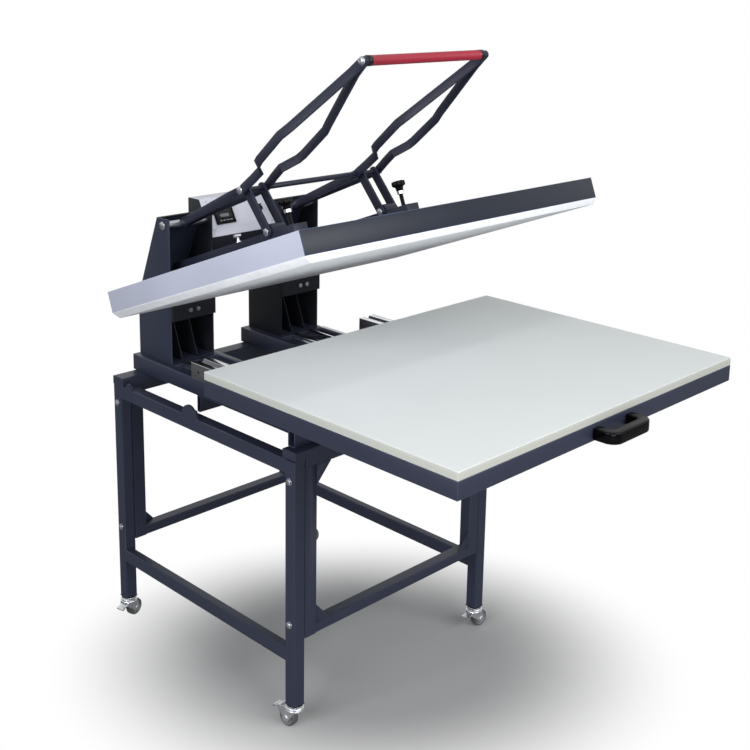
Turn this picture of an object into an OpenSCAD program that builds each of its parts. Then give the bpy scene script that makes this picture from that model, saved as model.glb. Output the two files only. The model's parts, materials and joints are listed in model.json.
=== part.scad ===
// Manual heat press: tube stand on casters, chassis with two pillars, lever-driven head, pull-out drawer.
// Millimetres. X is the width, Y runs from the front to the back, Z is up from the floor.
// The drawer is drawn pulled out and the head is drawn lifted.

/* [Stand] */
// Width over the side frames
stand_w = 744; // [700:1:760]
// Depth over the legs
stand_d = 786; // [760:1:820]
// Length of a leg
leg_h = 665; // [560:1:720]
// Side of the square leg tube
tube = 36; // [34:1:38]
// Wall of the stand tubes
tube_t = 2; // [1.5:0.1:3]
// Outer corner radius of the stand tubes
tube_r = 4; // [3.5:0.1:6]
// Width of a post of the end frames
post_w = 39.5; // [36:0.5:44]
// Seam between a leg and its post
seam = 0.5; // [0.2:0.1:1]
// Height of the top rail of an end frame
rail_h = 50; // [46:1:54]
// Depth of the top rail of an end frame
rail_d = 50; // [44:1:56]
// How far the end rails stand above the legs
rail_rise = 24; // [20:1:28]
// Inset of the front top rail at each end
rail_inset = 4; // [0:0.5:8]
// Height of a side frame's top rail
side_rail_h = 38; // [34:1:42]
// Height of the end stretchers
stretcher_h = 28; // [24:1:34]
// Height of the end stretchers' underside above the floor
stretcher_z = 253; // [220:1:300]
// Width of a side stretcher
side_stretcher_w = 26; // [22:1:30]
// Height of a side stretcher
side_stretcher_h = 38; // [34:1:44]
// Height of the side stretchers' underside above the floor
side_stretcher_z = 190; // [170:1:230]
// Gusset size along a rail
gusset_w = 45; // [30:1:60]
// Gusset size along a post
gusset_h = 50; // [30:1:60]
// Gusset thickness
gusset_t = 4; // [3:0.5:6]
// Height of the lower frame bolts above the floor
bolt_low_z = 297; // [285:1:330]
// How far the upper frame bolts lie under the leg tops
bolt_drop = 54; // [48:1:70]
// Diameter of the frame bolts
bolt_d = 8; // [6:0.5:10]
// Radius of the half-round lug on a side rail
lug_r = 31; // [24:1:36]
// Fillet in front of that lug
lug_fillet = 22; // [14:1:26]
// Distance of that lug behind the stand's front
lug_back = 426; // [380:1:460]
// Radius of the small lug near the rear end
lug2_r = 15; // [10:1:20]
// Distance of the small lug behind the stand's front
lug2_back = 710; // [690:1:725]
// Thickness of the lugs
lug_t = 6; // [4:0.5:8]

/* [Casters] */
// Height of a caster
caster_h = 72; // [68:1:80]
// Diameter of a caster wheel
wheel_d = 50; // [46:1:52]
// Width of a caster wheel
wheel_w = 22; // [18:1:24]
// Distance of the wheel axle from the swivel axis
trail = 20; // [16:1:24]
// Diameter of the wheel axle
axle_d = 8; // [6:0.5:9]
// Thickness of the fork plates
fork_t = 2.5; // [2:0.1:3]
// Gap on each side of a wheel in its fork
fork_gap = 1.5; // [1:0.1:2.5]
// Diameter of the swivel raceway
race_d = 48; // [42:1:54]
// Diameter of the swivel stem
stem_d = 10; // [8:0.5:12]
// Height of the plug in the leg
plug_h = 22; // [18:1:30]
// Length of the brake pedal
pedal_l = 26; // [18:1:32]
// Thickness of the brake pedal
pedal_t = 2.5; // [2:0.1:3.5]

/* [Chassis] */
// Overhang of the drawer in front of the stand when pulled out
overhang = 645; // [600:1:680]
// Distance of each beam's inner side from the middle
beam_x = 102; // [96:1:108]
// Width of a beam
beam_w = 195; // [190:1:200]
// Height of a beam
beam_h = 46; // [42:1:50]
// Sheet of the beams
beam_t = 3; // [2:0.1:4]
// Width of each ledge beside the recess of a beam
ledge_w = 20; // [18:1:24]
// Depth of the recess in a beam
recess = 13; // [11:1:15]
// How far the beams stand out behind the stand
beam_tail = 9; // [6:1:14]
// Depth of the front cross member
cross_d = 25; // [22:1:26]
// Width of the front cross member
cross_w = 700; // [690:1:730]
// Sheet of the cross members
cross_t = 2.5; // [2:0.1:4]
// Depth of the cross member under the beams
mid_d = 15; // [12:1:24]
// Distance of that cross member behind the stand's front
mid_back = 473; // [400:1:560]
// Diameter of the round guide rails
rail_bar_d = 16; // [14:0.5:17]
// Distance of the inner guide rails from the middle
rail_x1 = 178; // [174:1:182]
// Distance of the outer guide rails from the middle
rail_x2 = 237; // [230:1:240]
// Width of the steel strip on the right ledge
strip_w = 14; // [10:1:16]
// Thickness of that strip
strip_t = 3; // [2:0.5:4]

/* [Pillars] */
// Distance of a pillar's outer side from the middle
pillar_x = 277; // [274:1:278]
// Width of a pillar
pillar_w = 149; // [146:1:151]
// Depth of a pillar at its foot
pillar_d = 157; // [150:1:162]
// Height of a pillar
pillar_h = 418; // [400:1:440]
// Depth of a pillar at its top
pillar_top_d = 58; // [54:1:70]
// Sheet of the pillars
pillar_t = 3; // [2:0.1:4]
// Distance of the pillars' front behind the stand's front
pillar_back = 631; // [620:1:636]
// Height of the kink in a pillar's back above its foot
kink_h = 170; // [150:1:190]
// Height of the second kink in a pillar's back
kink2_h = 222; // [200:1:240]
// How far the second kink lies in front of the back
kink2_in = 20; // [12:1:26]
// Thickness of the ribs in a pillar
rib_t = 3; // [2:0.5:4]
// Spacing of the two ribs in a pillar
rib_pitch = 53; // [52:0.5:56]
// Height of the brace plates
brace_h = 70; // [50:1:76]
// Height of the brace plates above the pillar's foot
brace_z = 128; // [110:1:134]
// Thickness of the brace plates
brace_t = 10; // [8:0.5:11]

/* [Pivots] */
// Lever pivot behind the pillars' front
lever_back = 29; // [26:1:34]
// Lever pivot above the pillars' foot
lever_up = 397; // [385:1:400]
// Lever pivot pin diameter
lever_pin_d = 14; // [12:0.5:16]
// Head pivot behind the pillars' front
head_back = 27; // [24:1:32]
// Head pivot above the pillars' foot
head_up = 192; // [188:1:196]
// Head pivot pin diameter
head_pin_d = 16; // [14:0.5:18]
// Radial running clearance of the pivots
run_gap = 0.05; // [0.02:0.01:0.1]
// Axial clearance of moving pieces
side_gap = 0.3; // [0.2:0.05:0.5]

/* [Control box] */
// Height of the control box's top above the pillars' foot
box_up = 448; // [430:1:470]
// Depth of the control box's top
box_top_d = 48; // [40:1:60]
// Distance of the control box's back behind the pillars' front
box_back = 114; // [106:1:124]
// Height of the sloped panel
panel_rise = 102; // [90:1:112]
// Run of the sloped panel
panel_run = 59; // [50:1:66]
// Height of the box under the sloped panel
box_skirt = 38; // [24:1:60]
// Sheet of the control box
box_t = 2; // [1.5:0.1:3]
// Thickness of its end caps
cap_t = 3; // [2:0.1:4]
// Width of the light front panel
panel_w = 224; // [200:1:240]
// Side of the temperature controller's square face
ctl_s = 68; // [64:1:80]
// Height of the controller's middle above the panel's middle, along the slope
ctl_up = 8; // [0:1:14]
// Height of the switch above the panel's middle, along the slope
sw_up = 6; // [0:1:20]
// Distance of the controller's middle from the middle
ctl_x = 60; // [50:1:66]
// Distance of the rotary switch from the middle
sw_x = 73; // [60:1:80]
// Diameter of the rotary switch knob
sw_d = 22; // [18:1:30]

/* [Head] */
// Tilt of the lifted head
head_tilt = 20.9; // [16:0.1:21.5]
// Width of the upper platen
platen_w = 1056; // [1000:1:1060]
// Length of the upper platen
platen_d = 795; // [780:1:800]
// Height of the platen's cover
cover_h = 56; // [50:1:60]
// Whole height of the upper platen
platen_t = 73; // [68:1:78]
// Inset of the heated face at each side
face_inset = 15; // [8:1:20]
// Inset of the heated face at front and back
face_inset_y = 4; // [2:1:8]
// Sheet of the platen's cover
cover_t = 2; // [1.2:0.1:3]
// Thickness of the insulation over the heated plate
blanket_t = 18; // [10:1:24]
// Distance of the arms from the middle
arm_x = 206; // [204:0.5:207]
// Width of an arm
arm_w = 46; // [42:1:47]
// Height of an arm
arm_h = 50; // [46:1:52]
// Wall of an arm
arm_t = 4; // [3:0.5:6]
// Thickness of the arm's hinge cheeks
cheek_t = 8; // [6:0.5:10]
// Distance of the arms' front end behind the platen's front
arm_front = 367; // [350:1:375]
// Distance of the link pivot behind the platen's front
link_s = 466; // [460:1:472]
// Height of the link pivot above the platen
link_n = 50; // [48:1:52]
// Radius of the link lug
link_lug_r = 20; // [16:1:22]
// Distance of the pressure spindles behind the platen's front
knob_s = 401; // [380:1:412]
// Diameter of a pressure spindle
spindle_d = 16; // [12:0.5:18]
// Height of the pressure knobs' underside above the platen
knob_n = 97; // [90:1:100]
// Height of a pressure knob
knob_h = 24; // [22:1:34]
// Diameter of a pressure knob
knob_d = 38; // [34:1:44]
// Distance of the T bolts behind the platen's front
tee_s = 628; // [560:1:660]
// Gap left between the closed platen and the pad
press_gap = 0.5; // [0.4:0.1:1]

/* [Lever] */
// Distance from the lever pivot to the link axle
lever_r = 341; // [338:1:344]
// Rise of that line when the head is lifted
lever_rise = 24.2; // [23.6:0.1:24.8]
// Distance from the link axle to the grip
grip_r = 539; // [500:1:560]
// Rise of the handle when the head is lifted
grip_rise = 41; // [38:0.5:44]
// Width of the lever bars
bar_w = 23; // [21:1:26]
// Thickness of the lever bars
bar_t = 7; // [6:0.5:8]
// Offset of the bars at the link axle
bar_axle = 41; // [40:0.5:44]
// Offset of the bars at the waist
bar_waist = 34; // [33.5:0.5:37]
// Offset of the bars at the shoulder
bar_shoulder = 73; // [60:1:78]
// Offset of the bars where the handle narrows
bar_neck = 75; // [60:1:80]
// Offset of the bars at the lever pivot
bar_pivot = 11; // [9:0.5:12]
// Distance of the waist from the axle
waist_r = 89; // [80:1:100]
// Distance of the shoulder from the axle
shoulder_r = 134; // [120:1:150]
// Distance of the neck from the axle
neck_r = 249; // [220:1:280]
// Outward shift of the bars' ends at the grip
grip_shift = 7; // [5:0.5:9]
// Link axle diameter
link_axle_d = 12; // [10:0.5:14]
// Cross tube diameter
cross_tube_d = 15; // [13:0.5:20]
// Width of the link plates
link_w = 28; // [24:1:32]
// Thickness of the link plates
link_t = 6; // [5:0.5:7]
// Diameter of the grip sleeve
grip_d = 25; // [22:0.5:30]
// Diameter of the grip rod
grip_rod_d = 14; // [12:0.5:16]
// Width of the black collars beside the sleeve
collar_w = 12; // [6:0.5:16]

/* [Drawer] */
// Width of the pad
pad_w = 1045.6; // [1000:0.2:1050]
// Length of the pad
pad_d = 800; // [798:1:806]
// Thickness of the pad
pad_t = 20.6; // [16:0.2:24]
// Height of the drawer tray
tray_h = 40.6; // [36:0.2:46]
// Sheet of the tray
tray_t = 2; // [1.5:0.1:3]
// Thickness of the tray's top under the pad
plate_t = 3; // [2:0.5:5]
// Wall of the drawer's cross beams
dbeam_t = 2; // [1.5:0.5:4]
// Height of the pad's top above the beams
deck_h = 158; // [157:0.5:160]
// Travel of the drawer
travel = 378; // [360:1:380]
// Distance of a runner's outer side from the middle
runner_x = 344; // [340:1:348]
// Width of a runner
runner_w = 62; // [60:1:64]
// Height of a runner
runner_h = 32; // [30:1:34]
// Depth of the runners' top under the pad's top
runner_drop = 88; // [86:1:90]
// Distance of a runner's rear end behind the drawer's front
runner_end = 1094; // [1080:1:1100]
// Distance of a runner's front end behind the drawer's front
runner_start = 120; // [100:1:140]
// Thickness of the carriage plates
carriage_t = 12; // [10:0.5:13]
// Distance of the carriage's front behind the drawer's front
carriage_start = 715; // [710:1:730]
// Length of the carriage over the guide rails
carriage_l = 170; // [150:1:174]
// Width of a bearing block
block_w = 30; // [28:1:32]
// Length of a bearing block
block_l = 50; // [40:1:60]
// Width of the drawer's cross beams
dbeam_w = 40; // [30:1:50]
// Spacing of the drawer handle's feet
handle_pitch = 128; // [110:1:140]
// Reach of the drawer handle
handle_reach = 60; // [50:1:66]
// Thickness of the drawer handle
handle_t = 26; // [20:1:30]
// Height of the drawer handle
handle_h = 28; // [22:1:30]
// Depth of the handle's middle under the pad's top
handle_drop = 43; // [40:1:48]

/* [Hidden] */
$fn = 40;

// Overrun of every cut
over = 1;
// Seat clearance between pieces of one body
fit = 0.2;

// Heights
leg_top = caster_h + leg_h;
beam_z = leg_top + rail_rise;
deck_z = beam_z + beam_h;
floor_z = deck_z - recess;
pad_z = deck_z + deck_h;

// Depths: the drawer's front face lies at zero when it is pulled out
y0 = overhang;
y1 = y0 + stand_d;
beam_y = y0 + rail_d;
beam_end = y1 + beam_tail;
pillar_y = y0 + pillar_back;
recess_end = pillar_y - 2 * beam_t;
mid_y = (beam_end - handle_reach) / 2;

// Pivots in the side plane
lever_y = pillar_y + lever_back;
lever_z = deck_z + lever_up;
head_y = pillar_y + head_back;
head_z = deck_z + head_up;
axle_y = lever_y - lever_r * cos(lever_rise);
axle_z = lever_z + lever_r * sin(lever_rise);
// Head pivot in the head's own side plane, from the platen's top front edge
hinge_s = head_y - travel - (pad_d - platen_d) / 2;
hinge_n = head_z - pad_z - press_gap - platen_t;
function head_pt(s, n) = [
  head_y + (s - hinge_s) * cos(head_tilt) + (n - hinge_n) * sin(head_tilt),
  head_z - (s - hinge_s) * sin(head_tilt) + (n - hinge_n) * cos(head_tilt)];
link_pt = head_pt(link_s, link_n);
link_l = norm([link_pt[0] - axle_y, link_pt[1] - axle_z]);
link_a = atan2(axle_z - link_pt[1], axle_y - link_pt[0]);

// The whole model is moved so that its origin lies under the middle of its box
module place() { translate([0, -mid_y, 0]) children(); }
module bx(x0, x1, ya, yb, z0, z1) { translate([x0, ya, z0]) cube([x1 - x0, yb - ya, z1 - z0]); }
module both() {
  children();
  mirror([1, 0, 0]) children();
}
module side(left) { mirror([left ? 1 : 0, 0, 0]) children(); }
module rod_x(x0, x1, y, z, d) { translate([x0, y, z]) rotate([0, 90, 0]) cylinder(h = x1 - x0, d = d); }
module rod_y(ya, yb, x, z, d) { translate([x, ya, z]) rotate([-90, 0, 0]) cylinder(h = yb - ya, d = d); }
module rod_z(z0, z1, x, y, d) { translate([x, y, z0]) cylinder(h = z1 - z0, d = d); }
// Outline in the side plane (Y, Z), drawn from x0 to x1
module slab_x(x0, x1) { translate([x0, 0, 0]) rotate([90, 0, 90]) linear_extrude(x1 - x0) children(); }
// Outline in the front plane (X, Z), drawn from ya to yb
module slab_y(ya, yb) { translate([0, yb, 0]) rotate([90, 0, 0]) linear_extrude(yb - ya) children(); }
module slab_z(z0, z1) { translate([0, 0, z0]) linear_extrude(z1 - z0) children(); }
// Rounded rectangle between two corners
module rr(a, b, r) {
  translate([a[0] + r, a[1]]) square([b[0] - a[0] - 2 * r, b[1] - a[1]]);
  translate([a[0], a[1] + r]) square([b[0] - a[0], b[1] - a[1] - 2 * r]);
  for (x = [a[0] + r, b[0] - r]) for (y = [a[1] + r, b[1] - r]) translate([x, y]) circle(r);
}
module rin(a, b, t, r) { rr([a[0] + t, a[1] + t], [b[0] - t, b[1] - t], r - t); }
module hexrod_x(x0, x1, y, z, af) {
  translate([x0, y, z]) rotate([0, 90, 0]) cylinder(h = x1 - x0, d = af / cos(30), $fn = 6);
}

// ---- Stand
leg_in = stand_w / 2 - tube;
post_out = leg_in - seam;
post_in = post_out - post_w;
bolt_up_z = leg_top - bolt_drop;
bolt_head_h = 0.7 * bolt_d;
bolt_head_w = 1.6 * bolt_d;
nut_h = 0.8 * bolt_d;
side_rail_z = leg_top - side_rail_h;

module side_frame() {
  xo = stand_w / 2;
  difference() {
    union() {
      for (y = [y0, y1 - tube]) slab_z(caster_h, leg_top) rr([leg_in, y], [xo, y + tube], tube_r);
      slab_y(y0 + tube / 2, y1 - tube / 2) rr([leg_in, side_rail_z], [xo, leg_top], tube_r);
      slab_y(y0 + tube / 2, y1 - tube / 2)
        rr([xo - side_stretcher_w, side_stretcher_z], [xo, side_stretcher_z + side_stretcher_h], tube_r);
      slab_x(xo - lug_t, xo) lug_outline();
    }
    for (y = [y0, y1 - tube])
      slab_z(caster_h - over, leg_top + over) rin([leg_in, y], [xo, y + tube], tube_t, tube_r);
    slab_y(y0 + tube / 2, y1 - tube / 2) rin([leg_in, side_rail_z], [xo, leg_top], tube_t, tube_r);
    slab_y(y0 + tube / 2, y1 - tube / 2)
      rin([xo - side_stretcher_w, side_stretcher_z], [xo, side_stretcher_z + side_stretcher_h], tube_t, tube_r);
    for (y = [y0 + tube / 2, y1 - tube / 2]) for (z = [bolt_low_z, bolt_up_z])
      rod_x(leg_in - over, xo + over, y, z, bolt_d + 2 * fit);
  }
}
module lug_outline() {
  intersection() {
    union() {
      translate([y0 + lug_back, leg_top]) circle(lug_r);
      translate([y0 + lug2_back, leg_top]) circle(lug2_r);
      difference() {
        translate([y0 + lug_back - lug_r - lug_fillet, leg_top]) square([lug_r + lug_fillet, lug_fillet]);
        translate([y0 + lug_back - lug_r - lug_fillet, leg_top + lug_fillet]) circle(lug_fillet);
      }
    }
    translate([y0, leg_top - tube_t]) square([stand_d, lug_r + 2 * tube_t]);
  }
}
module side_frame_left() { color("#3e414e") place() side(true) side_frame(); }
module side_frame_right() { color("#3e414e") place() side_frame(); }

// An end frame standing at the front; inset shortens its top rail
module end_frame(inset) {
  xr = stand_w / 2 - inset;
  z_rail = beam_z - rail_h;
  difference() {
    union() {
      slab_x(-xr, xr) rr([y0, z_rail], [y0 + rail_d, beam_z], tube_r);
      both() slab_z(stretcher_z, z_rail + tube_t) rr([post_in, y0], [post_out, y0 + tube], tube_r);
      slab_x(-post_out + tube_r, post_out - tube_r)
        rr([y0, stretcher_z], [y0 + tube, stretcher_z + stretcher_h], tube_r);
      both() slab_y(y0, y0 + gusset_t) {
        polygon([[post_in + over, z_rail + over], [post_in - gusset_w, z_rail + over], [post_in - gusset_w, z_rail],
          [post_in, z_rail - gusset_h], [post_in + over, z_rail - gusset_h]]);
        polygon([[post_in + over, stretcher_z + stretcher_h - over], [post_in - gusset_w, stretcher_z + stretcher_h - over],
          [post_in - gusset_w, stretcher_z + stretcher_h], [post_in, stretcher_z + stretcher_h + gusset_h],
          [post_in + over, stretcher_z + stretcher_h + gusset_h]]);
      }
    }
    slab_x(-xr + tube_t, xr - tube_t) rin([y0, z_rail], [y0 + rail_d, beam_z], tube_t, tube_r);
    both() slab_z(stretcher_z - over, z_rail + rail_h / 2) rin([post_in, y0], [post_out, y0 + tube], tube_t, tube_r);
    slab_x(-post_out + tube_r, post_out - tube_r)
      rin([y0, stretcher_z], [y0 + tube, stretcher_z + stretcher_h], tube_t, tube_r);
    both() {
      bx(post_out, stand_w / 2 + over, y0 - over, y0 + rail_d + over, z_rail - over, leg_top);
      for (z = [bolt_low_z, bolt_up_z])
        rod_x(post_out - 2 * tube_t, post_out + over, y0 + tube / 2, z, bolt_d + 2 * fit);
    }
  }
}
module front_frame() { color("#3e414e") place() end_frame(rail_inset); }
module rear_frame() {
  color("#3e414e") place() translate([0, y0 + y1, 0]) mirror([0, 1, 0]) end_frame(0);
}
module frame_bolts() {
  color("#b9bcc4") place() both() for (y = [y0 + tube / 2, y1 - tube / 2]) for (z = [bolt_low_z, bolt_up_z]) {
    rod_x(post_out - tube_t - nut_h, stand_w / 2 + bolt_head_h / 2, y, z, bolt_d);
    rod_x(post_out - tube_t - nut_h, post_out - tube_t, y, z, bolt_head_w);
    rod_x(stand_w / 2, stand_w / 2 + bolt_head_h / 3, y, z, bolt_head_w + bolt_head_h / 2);
    hexrod_x(stand_w / 2 + bolt_head_h / 3, stand_w / 2 + bolt_head_h, y, z, bolt_head_w);
  }
}

// ---- Casters, drawn round the swivel axis with the wheel towards +X
plate_h = 3;
ring_h = 7;
ring_z = caster_h - plate_h - ring_h;
fork_in = wheel_w / 2 + fork_gap;
crown_z = ring_z - side_gap - 2 * fork_t - fork_t;
pin_r = fork_t;
function pedal_x(side) = side > 0 ? trail + wheel_d / 2 - pin_r : -race_d / 3;
pedal_z = crown_z - pin_r - fork_t;
pedal_angle = 24;
// Corner signs, heading of the wheel, and whether the pedal is on the wheel's side of the stem
caster_turns = [[-1, -1, 95, 1], [1, -1, 357, -1], [-1, 1, 15, -1], [1, 1, 318, -1]];

module corner(i) {
  t = caster_turns[i];
  translate([t[0] * (stand_w - tube) / 2, (y0 + y1) / 2 + t[1] * (stand_d - tube) / 2, 0]) rotate(t[2]) children();
}
module stem_corner(i) {
  t = caster_turns[i];
  translate([t[0] * (stand_w - tube) / 2, (y0 + y1) / 2 + t[1] * (stand_d - tube) / 2, 0]) children();
}
module fork(side) {
  px = pedal_x(side);
  difference() {
    union() {
      rod_z(crown_z, crown_z + fork_t, 0, 0, race_d);
      rod_z(crown_z + fork_t, ring_z - side_gap, 0, 0, race_d - 2 * fork_t);
      rod_z(ring_z - side_gap, caster_h + plug_h / 2, 0, 0, stem_d);
      for (s = [-1, 1]) translate([0, s * (fork_in + fork_t / 2), 0]) slab_y(-fork_t / 2, fork_t / 2)
        polygon(side > 0 ? [[-race_d / 4, crown_z + fork_t], [-race_d / 4, crown_z - fork_t],
          [trail - axle_d, wheel_d / 2 - axle_d], [trail + axle_d, wheel_d / 2 - axle_d], [px + 2 * pin_r, pedal_z - pin_r],
          [px + 2 * pin_r, pedal_z + 2 * pin_r], [race_d / 3, crown_z + fork_t]] :
          [[px, crown_z + fork_t], [px - 2 * pin_r, crown_z], [px - 2 * pin_r, pedal_z - 2 * pin_r],
          [trail - axle_d, wheel_d / 2 - axle_d], [trail + axle_d, wheel_d / 2 - axle_d],
          [race_d / 2 - fork_t, crown_z - fork_t], [race_d / 3, crown_z + fork_t]]);
      bx(-race_d / 4, race_d / 3, -fork_in - fork_t / 2, fork_in + fork_t / 2, crown_z, crown_z + fork_t);
    }
    rod_y(-wheel_w, wheel_w, px, pedal_z, 2 * pin_r + 2 * run_gap);
  }
  rod_y(-fork_in - 2 * fork_t, fork_in + 2 * fork_t, trail, wheel_d / 2, axle_d);
  for (s = [-1, 1]) translate([0, s * (fork_in + 1.5 * fork_t), 0])
    rod_y(-fork_t / 2, fork_t / 2, trail, wheel_d / 2, 1.8 * axle_d);
}
module wheel() {
  tread = wheel_w / 5;
  translate([trail, 0, wheel_d / 2]) rotate([90, 0, 0]) rotate_extrude() polygon([
    [axle_d / 2 + run_gap, -wheel_w / 2], [axle_d, -wheel_w / 2], [axle_d, -wheel_w / 2 + tread / 2],
    [wheel_d / 2 - tread, -wheel_w / 2 + tread / 2], [wheel_d / 2 - tread, -wheel_w / 2 + tread / 4],
    [wheel_d / 2 - tread / 4, -wheel_w / 2 + tread / 4], [wheel_d / 2, -wheel_w / 2 + tread],
    [wheel_d / 2, wheel_w / 2 - tread], [wheel_d / 2 - tread / 4, wheel_w / 2 - tread / 4],
    [wheel_d / 2 - tread, wheel_w / 2 - tread / 4], [wheel_d / 2 - tread, wheel_w / 2 - tread / 2],
    [axle_d, wheel_w / 2 - tread / 2], [axle_d, wheel_w / 2], [axle_d / 2 + run_gap, wheel_w / 2]]);
}
module pedal(side) {
  w = fork_in - side_gap;
  px = pedal_x(side);
  rod_y(-fork_in - fork_t, fork_in + fork_t, px, pedal_z, 2 * pin_r);
  translate([px, 0, pedal_z]) mirror([side > 0 ? 0 : 1, 0, 0]) rotate([0, pedal_angle, 0]) {
    translate([0, -w, 0]) cube([pedal_l, 2 * w, pedal_t]);
    translate([pedal_l - 2 * pedal_t, -w, 0]) cube([2 * pedal_t, 2 * w, 2 * pedal_t]);
  }
}
module leg_plugs() {
  in = tube / 2 - tube_t - fit;
  color("#26282e") place() for (i = [0:3]) stem_corner(i) difference() {
    union() {
      translate([-in, -in, caster_h]) cube([2 * in, 2 * in, plug_h]);
      translate([-tube / 2, -tube / 2, caster_h - plate_h]) cube([tube, tube, plate_h]);
      rod_z(ring_z, caster_h - plate_h, 0, 0, race_d - 2 * fork_t);
    }
    rod_z(ring_z - over, caster_h + plug_h / 2 + side_gap, 0, 0, stem_d + 2 * run_gap);
    for (s = [[-1, -1], [-1, 1], [1, -1], [1, 1]]) translate([s[0] * in, s[1] * in, caster_h])
      rotate(45) translate([-tube_t / 2, -tube_t / 2, 0]) cube([tube_t, tube_t, plug_h + over]);
  }
}
module fork_at(i) { color("#c4c7cd") place() corner(i) fork(caster_turns[i][3]); }
module wheel_at(i) { color("#4a4c52") place() corner(i) wheel(); }
module pedal_at(i) { color("#cfd1d6") place() corner(i) pedal(caster_turns[i][3]); }

// ---- Chassis
beam_o = beam_x + beam_w;
module beam() {
  xi = beam_x;
  xo = beam_o;
  t = beam_t;
  difference() {
    union() {
      slab_y(beam_y, recess_end) polygon([[xi, beam_z], [xo, beam_z], [xo, deck_z], [xo - ledge_w, deck_z],
        [xo - ledge_w, floor_z], [xi + ledge_w, floor_z], [xi + ledge_w, deck_z], [xi, deck_z]]);
      bx(xi, xo, recess_end, beam_end, beam_z, deck_z);
    }
    slab_y(beam_y - over, recess_end + 2 * t) polygon([[xi + t, beam_z + t], [xo - t, beam_z + t], [xo - t, deck_z - t],
      [xo - ledge_w + t, deck_z - t], [xo - ledge_w + t, floor_z - t], [xi + ledge_w - t, floor_z - t],
      [xi + ledge_w - t, deck_z - t], [xi + t, deck_z - t]]);
    bx(xi + t, xo - t, recess_end + t, beam_end + over, beam_z + t, deck_z - t);
  }
}
module beam_left() { color("#383b48") place() side(true) beam(); }
module beam_right() { color("#383b48") place() beam(); }
module front_cross_member() {
  color("#3e414e") place() slab_x(-cross_w / 2, cross_w / 2) difference() {
    translate([beam_y - cross_d, beam_z]) square([cross_d, beam_h]);
    translate([beam_y - cross_d + cross_t, beam_z + cross_t]) square([cross_d - 2 * cross_t, beam_h - 2 * cross_t]);
  }
}
module mid_cross_member() {
  color("#2c2e38") place() translate([0, y0 + mid_back, beam_z - beam_h]) slab_x(-beam_o, beam_o) difference() {
    union() {
      rr([0, 0], [mid_d, beam_h], mid_d / 3);
      translate([0, beam_h / 2]) square([mid_d, beam_h / 2]);
    }
    translate([cross_t, cross_t + mid_d / 3]) square([mid_d - 2 * cross_t, beam_h - 2 * cross_t - mid_d / 3]);
  }
}
// Round rails on their supports in the recess of each beam
web_w = rail_bar_d / 2;
foot_t = rail_bar_d / 8;
bar_z = floor_z + foot_t + rail_bar_d * 0.55;
module guide_rails() {
  color("#aab0b8") place() both() for (x = [rail_x1, rail_x2]) difference() {
    union() {
      rod_y(beam_y, recess_end, x, bar_z, rail_bar_d);
      bx(x - web_w / 2, x + web_w / 2, beam_y, recess_end, floor_z + foot_t, bar_z);
      bx(x - web_w * 1.2, x + web_w * 1.2, beam_y, recess_end, floor_z, floor_z + foot_t);
    }
    rod_y(recess_end - rail_bar_d / 4, recess_end + over, x, bar_z, rail_bar_d / 4);
  }
}
module ledge_strip() {
  color("#b4b8b6") place() bx(beam_o - strip_w, beam_o, beam_y, recess_end, deck_z, deck_z + strip_t);
}

// ---- Pillars
pillar_top = deck_z + pillar_h;
pillar_rear = pillar_y + pillar_d;
pillar_in = pillar_x - pillar_w;
function pillar_shape(f, t) = [[pillar_y - f, deck_z + t], [pillar_y - f, pillar_top - t],
  [pillar_y + pillar_top_d - t, pillar_top - t], [pillar_rear - kink2_in - t, deck_z + kink2_h],
  [pillar_rear - t, deck_z + kink_h], [pillar_rear - t, deck_z + t]];
module pillar() {
  difference() {
    slab_x(pillar_in, pillar_x) polygon(pillar_shape(0, 0));
    slab_x(pillar_in + pillar_t, pillar_x - pillar_t) polygon(pillar_shape(over, pillar_t));
    bx(pillar_in + pillar_t, pillar_x - pillar_t, pillar_y - over, pillar_y + pillar_top_d - 3 * pillar_t,
      pillar_top - pillar_t - over, pillar_top + over);
    rod_x(pillar_in - over, pillar_x + over, lever_y, lever_z, lever_pin_d);
    rod_x(pillar_in - over, pillar_x + over, head_y, head_z, head_pin_d);
    for (x = [-1, 1]) rod_y(pillar_y - over, pillar_y + brace_t, arm_x + x * (pillar_w / 2 - pillar_t / 2),
      deck_z + brace_z + brace_h / 2, pillar_t / 2);
  }
}
module pillar_left() { color("#31343f") place() side(true) pillar(); }
module pillar_right() { color("#31343f") place() pillar(); }
// Slanted ribs stand on the pillar's foot plate and lean back onto its rear sheet
rib_front = pillar_t * 3;
rib_lean = 65;
module pillar_ribs() {
  yb = pillar_rear - pillar_t;
  color("#24262d") place() both() for (s = [-1, 1])
    slab_x(arm_x + s * rib_pitch / 2 - rib_t / 2, arm_x + s * rib_pitch / 2 + rib_t / 2)
      polygon([[pillar_y + rib_front, deck_z + pillar_t], [yb, deck_z + pillar_t], [yb, deck_z + kink_h],
        [pillar_y + rib_front + rib_lean, deck_z + kink_h]]);
}
module pillar_braces() {
  color("#2f323c") place() both() difference() {
    bx(pillar_in, pillar_x, pillar_y - brace_t, pillar_y, deck_z + brace_z, deck_z + brace_z + brace_h);
    for (s = [-1, 1]) rod_y(pillar_y - brace_t - over, pillar_y + over, arm_x + s * rib_pitch / 4,
      deck_z + brace_z + rib_pitch / 2, bolt_d + 2 * fit);
  }
}
module brace_bolts() {
  color("#c6c8cc") place() both() for (s = [-1, 1]) {
    x = arm_x + s * rib_pitch / 4;
    z = deck_z + brace_z + rib_pitch / 2;
    rod_y(pillar_y - brace_t - bolt_head_h, pillar_y - brace_t, x, z, bolt_head_w);
    rod_y(pillar_y - brace_t, pillar_y + nut_h, x, z, bolt_d);
    rod_y(pillar_y, pillar_y + nut_h, x, z, bolt_head_w);
  }
}
pin_head = 4;
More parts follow.
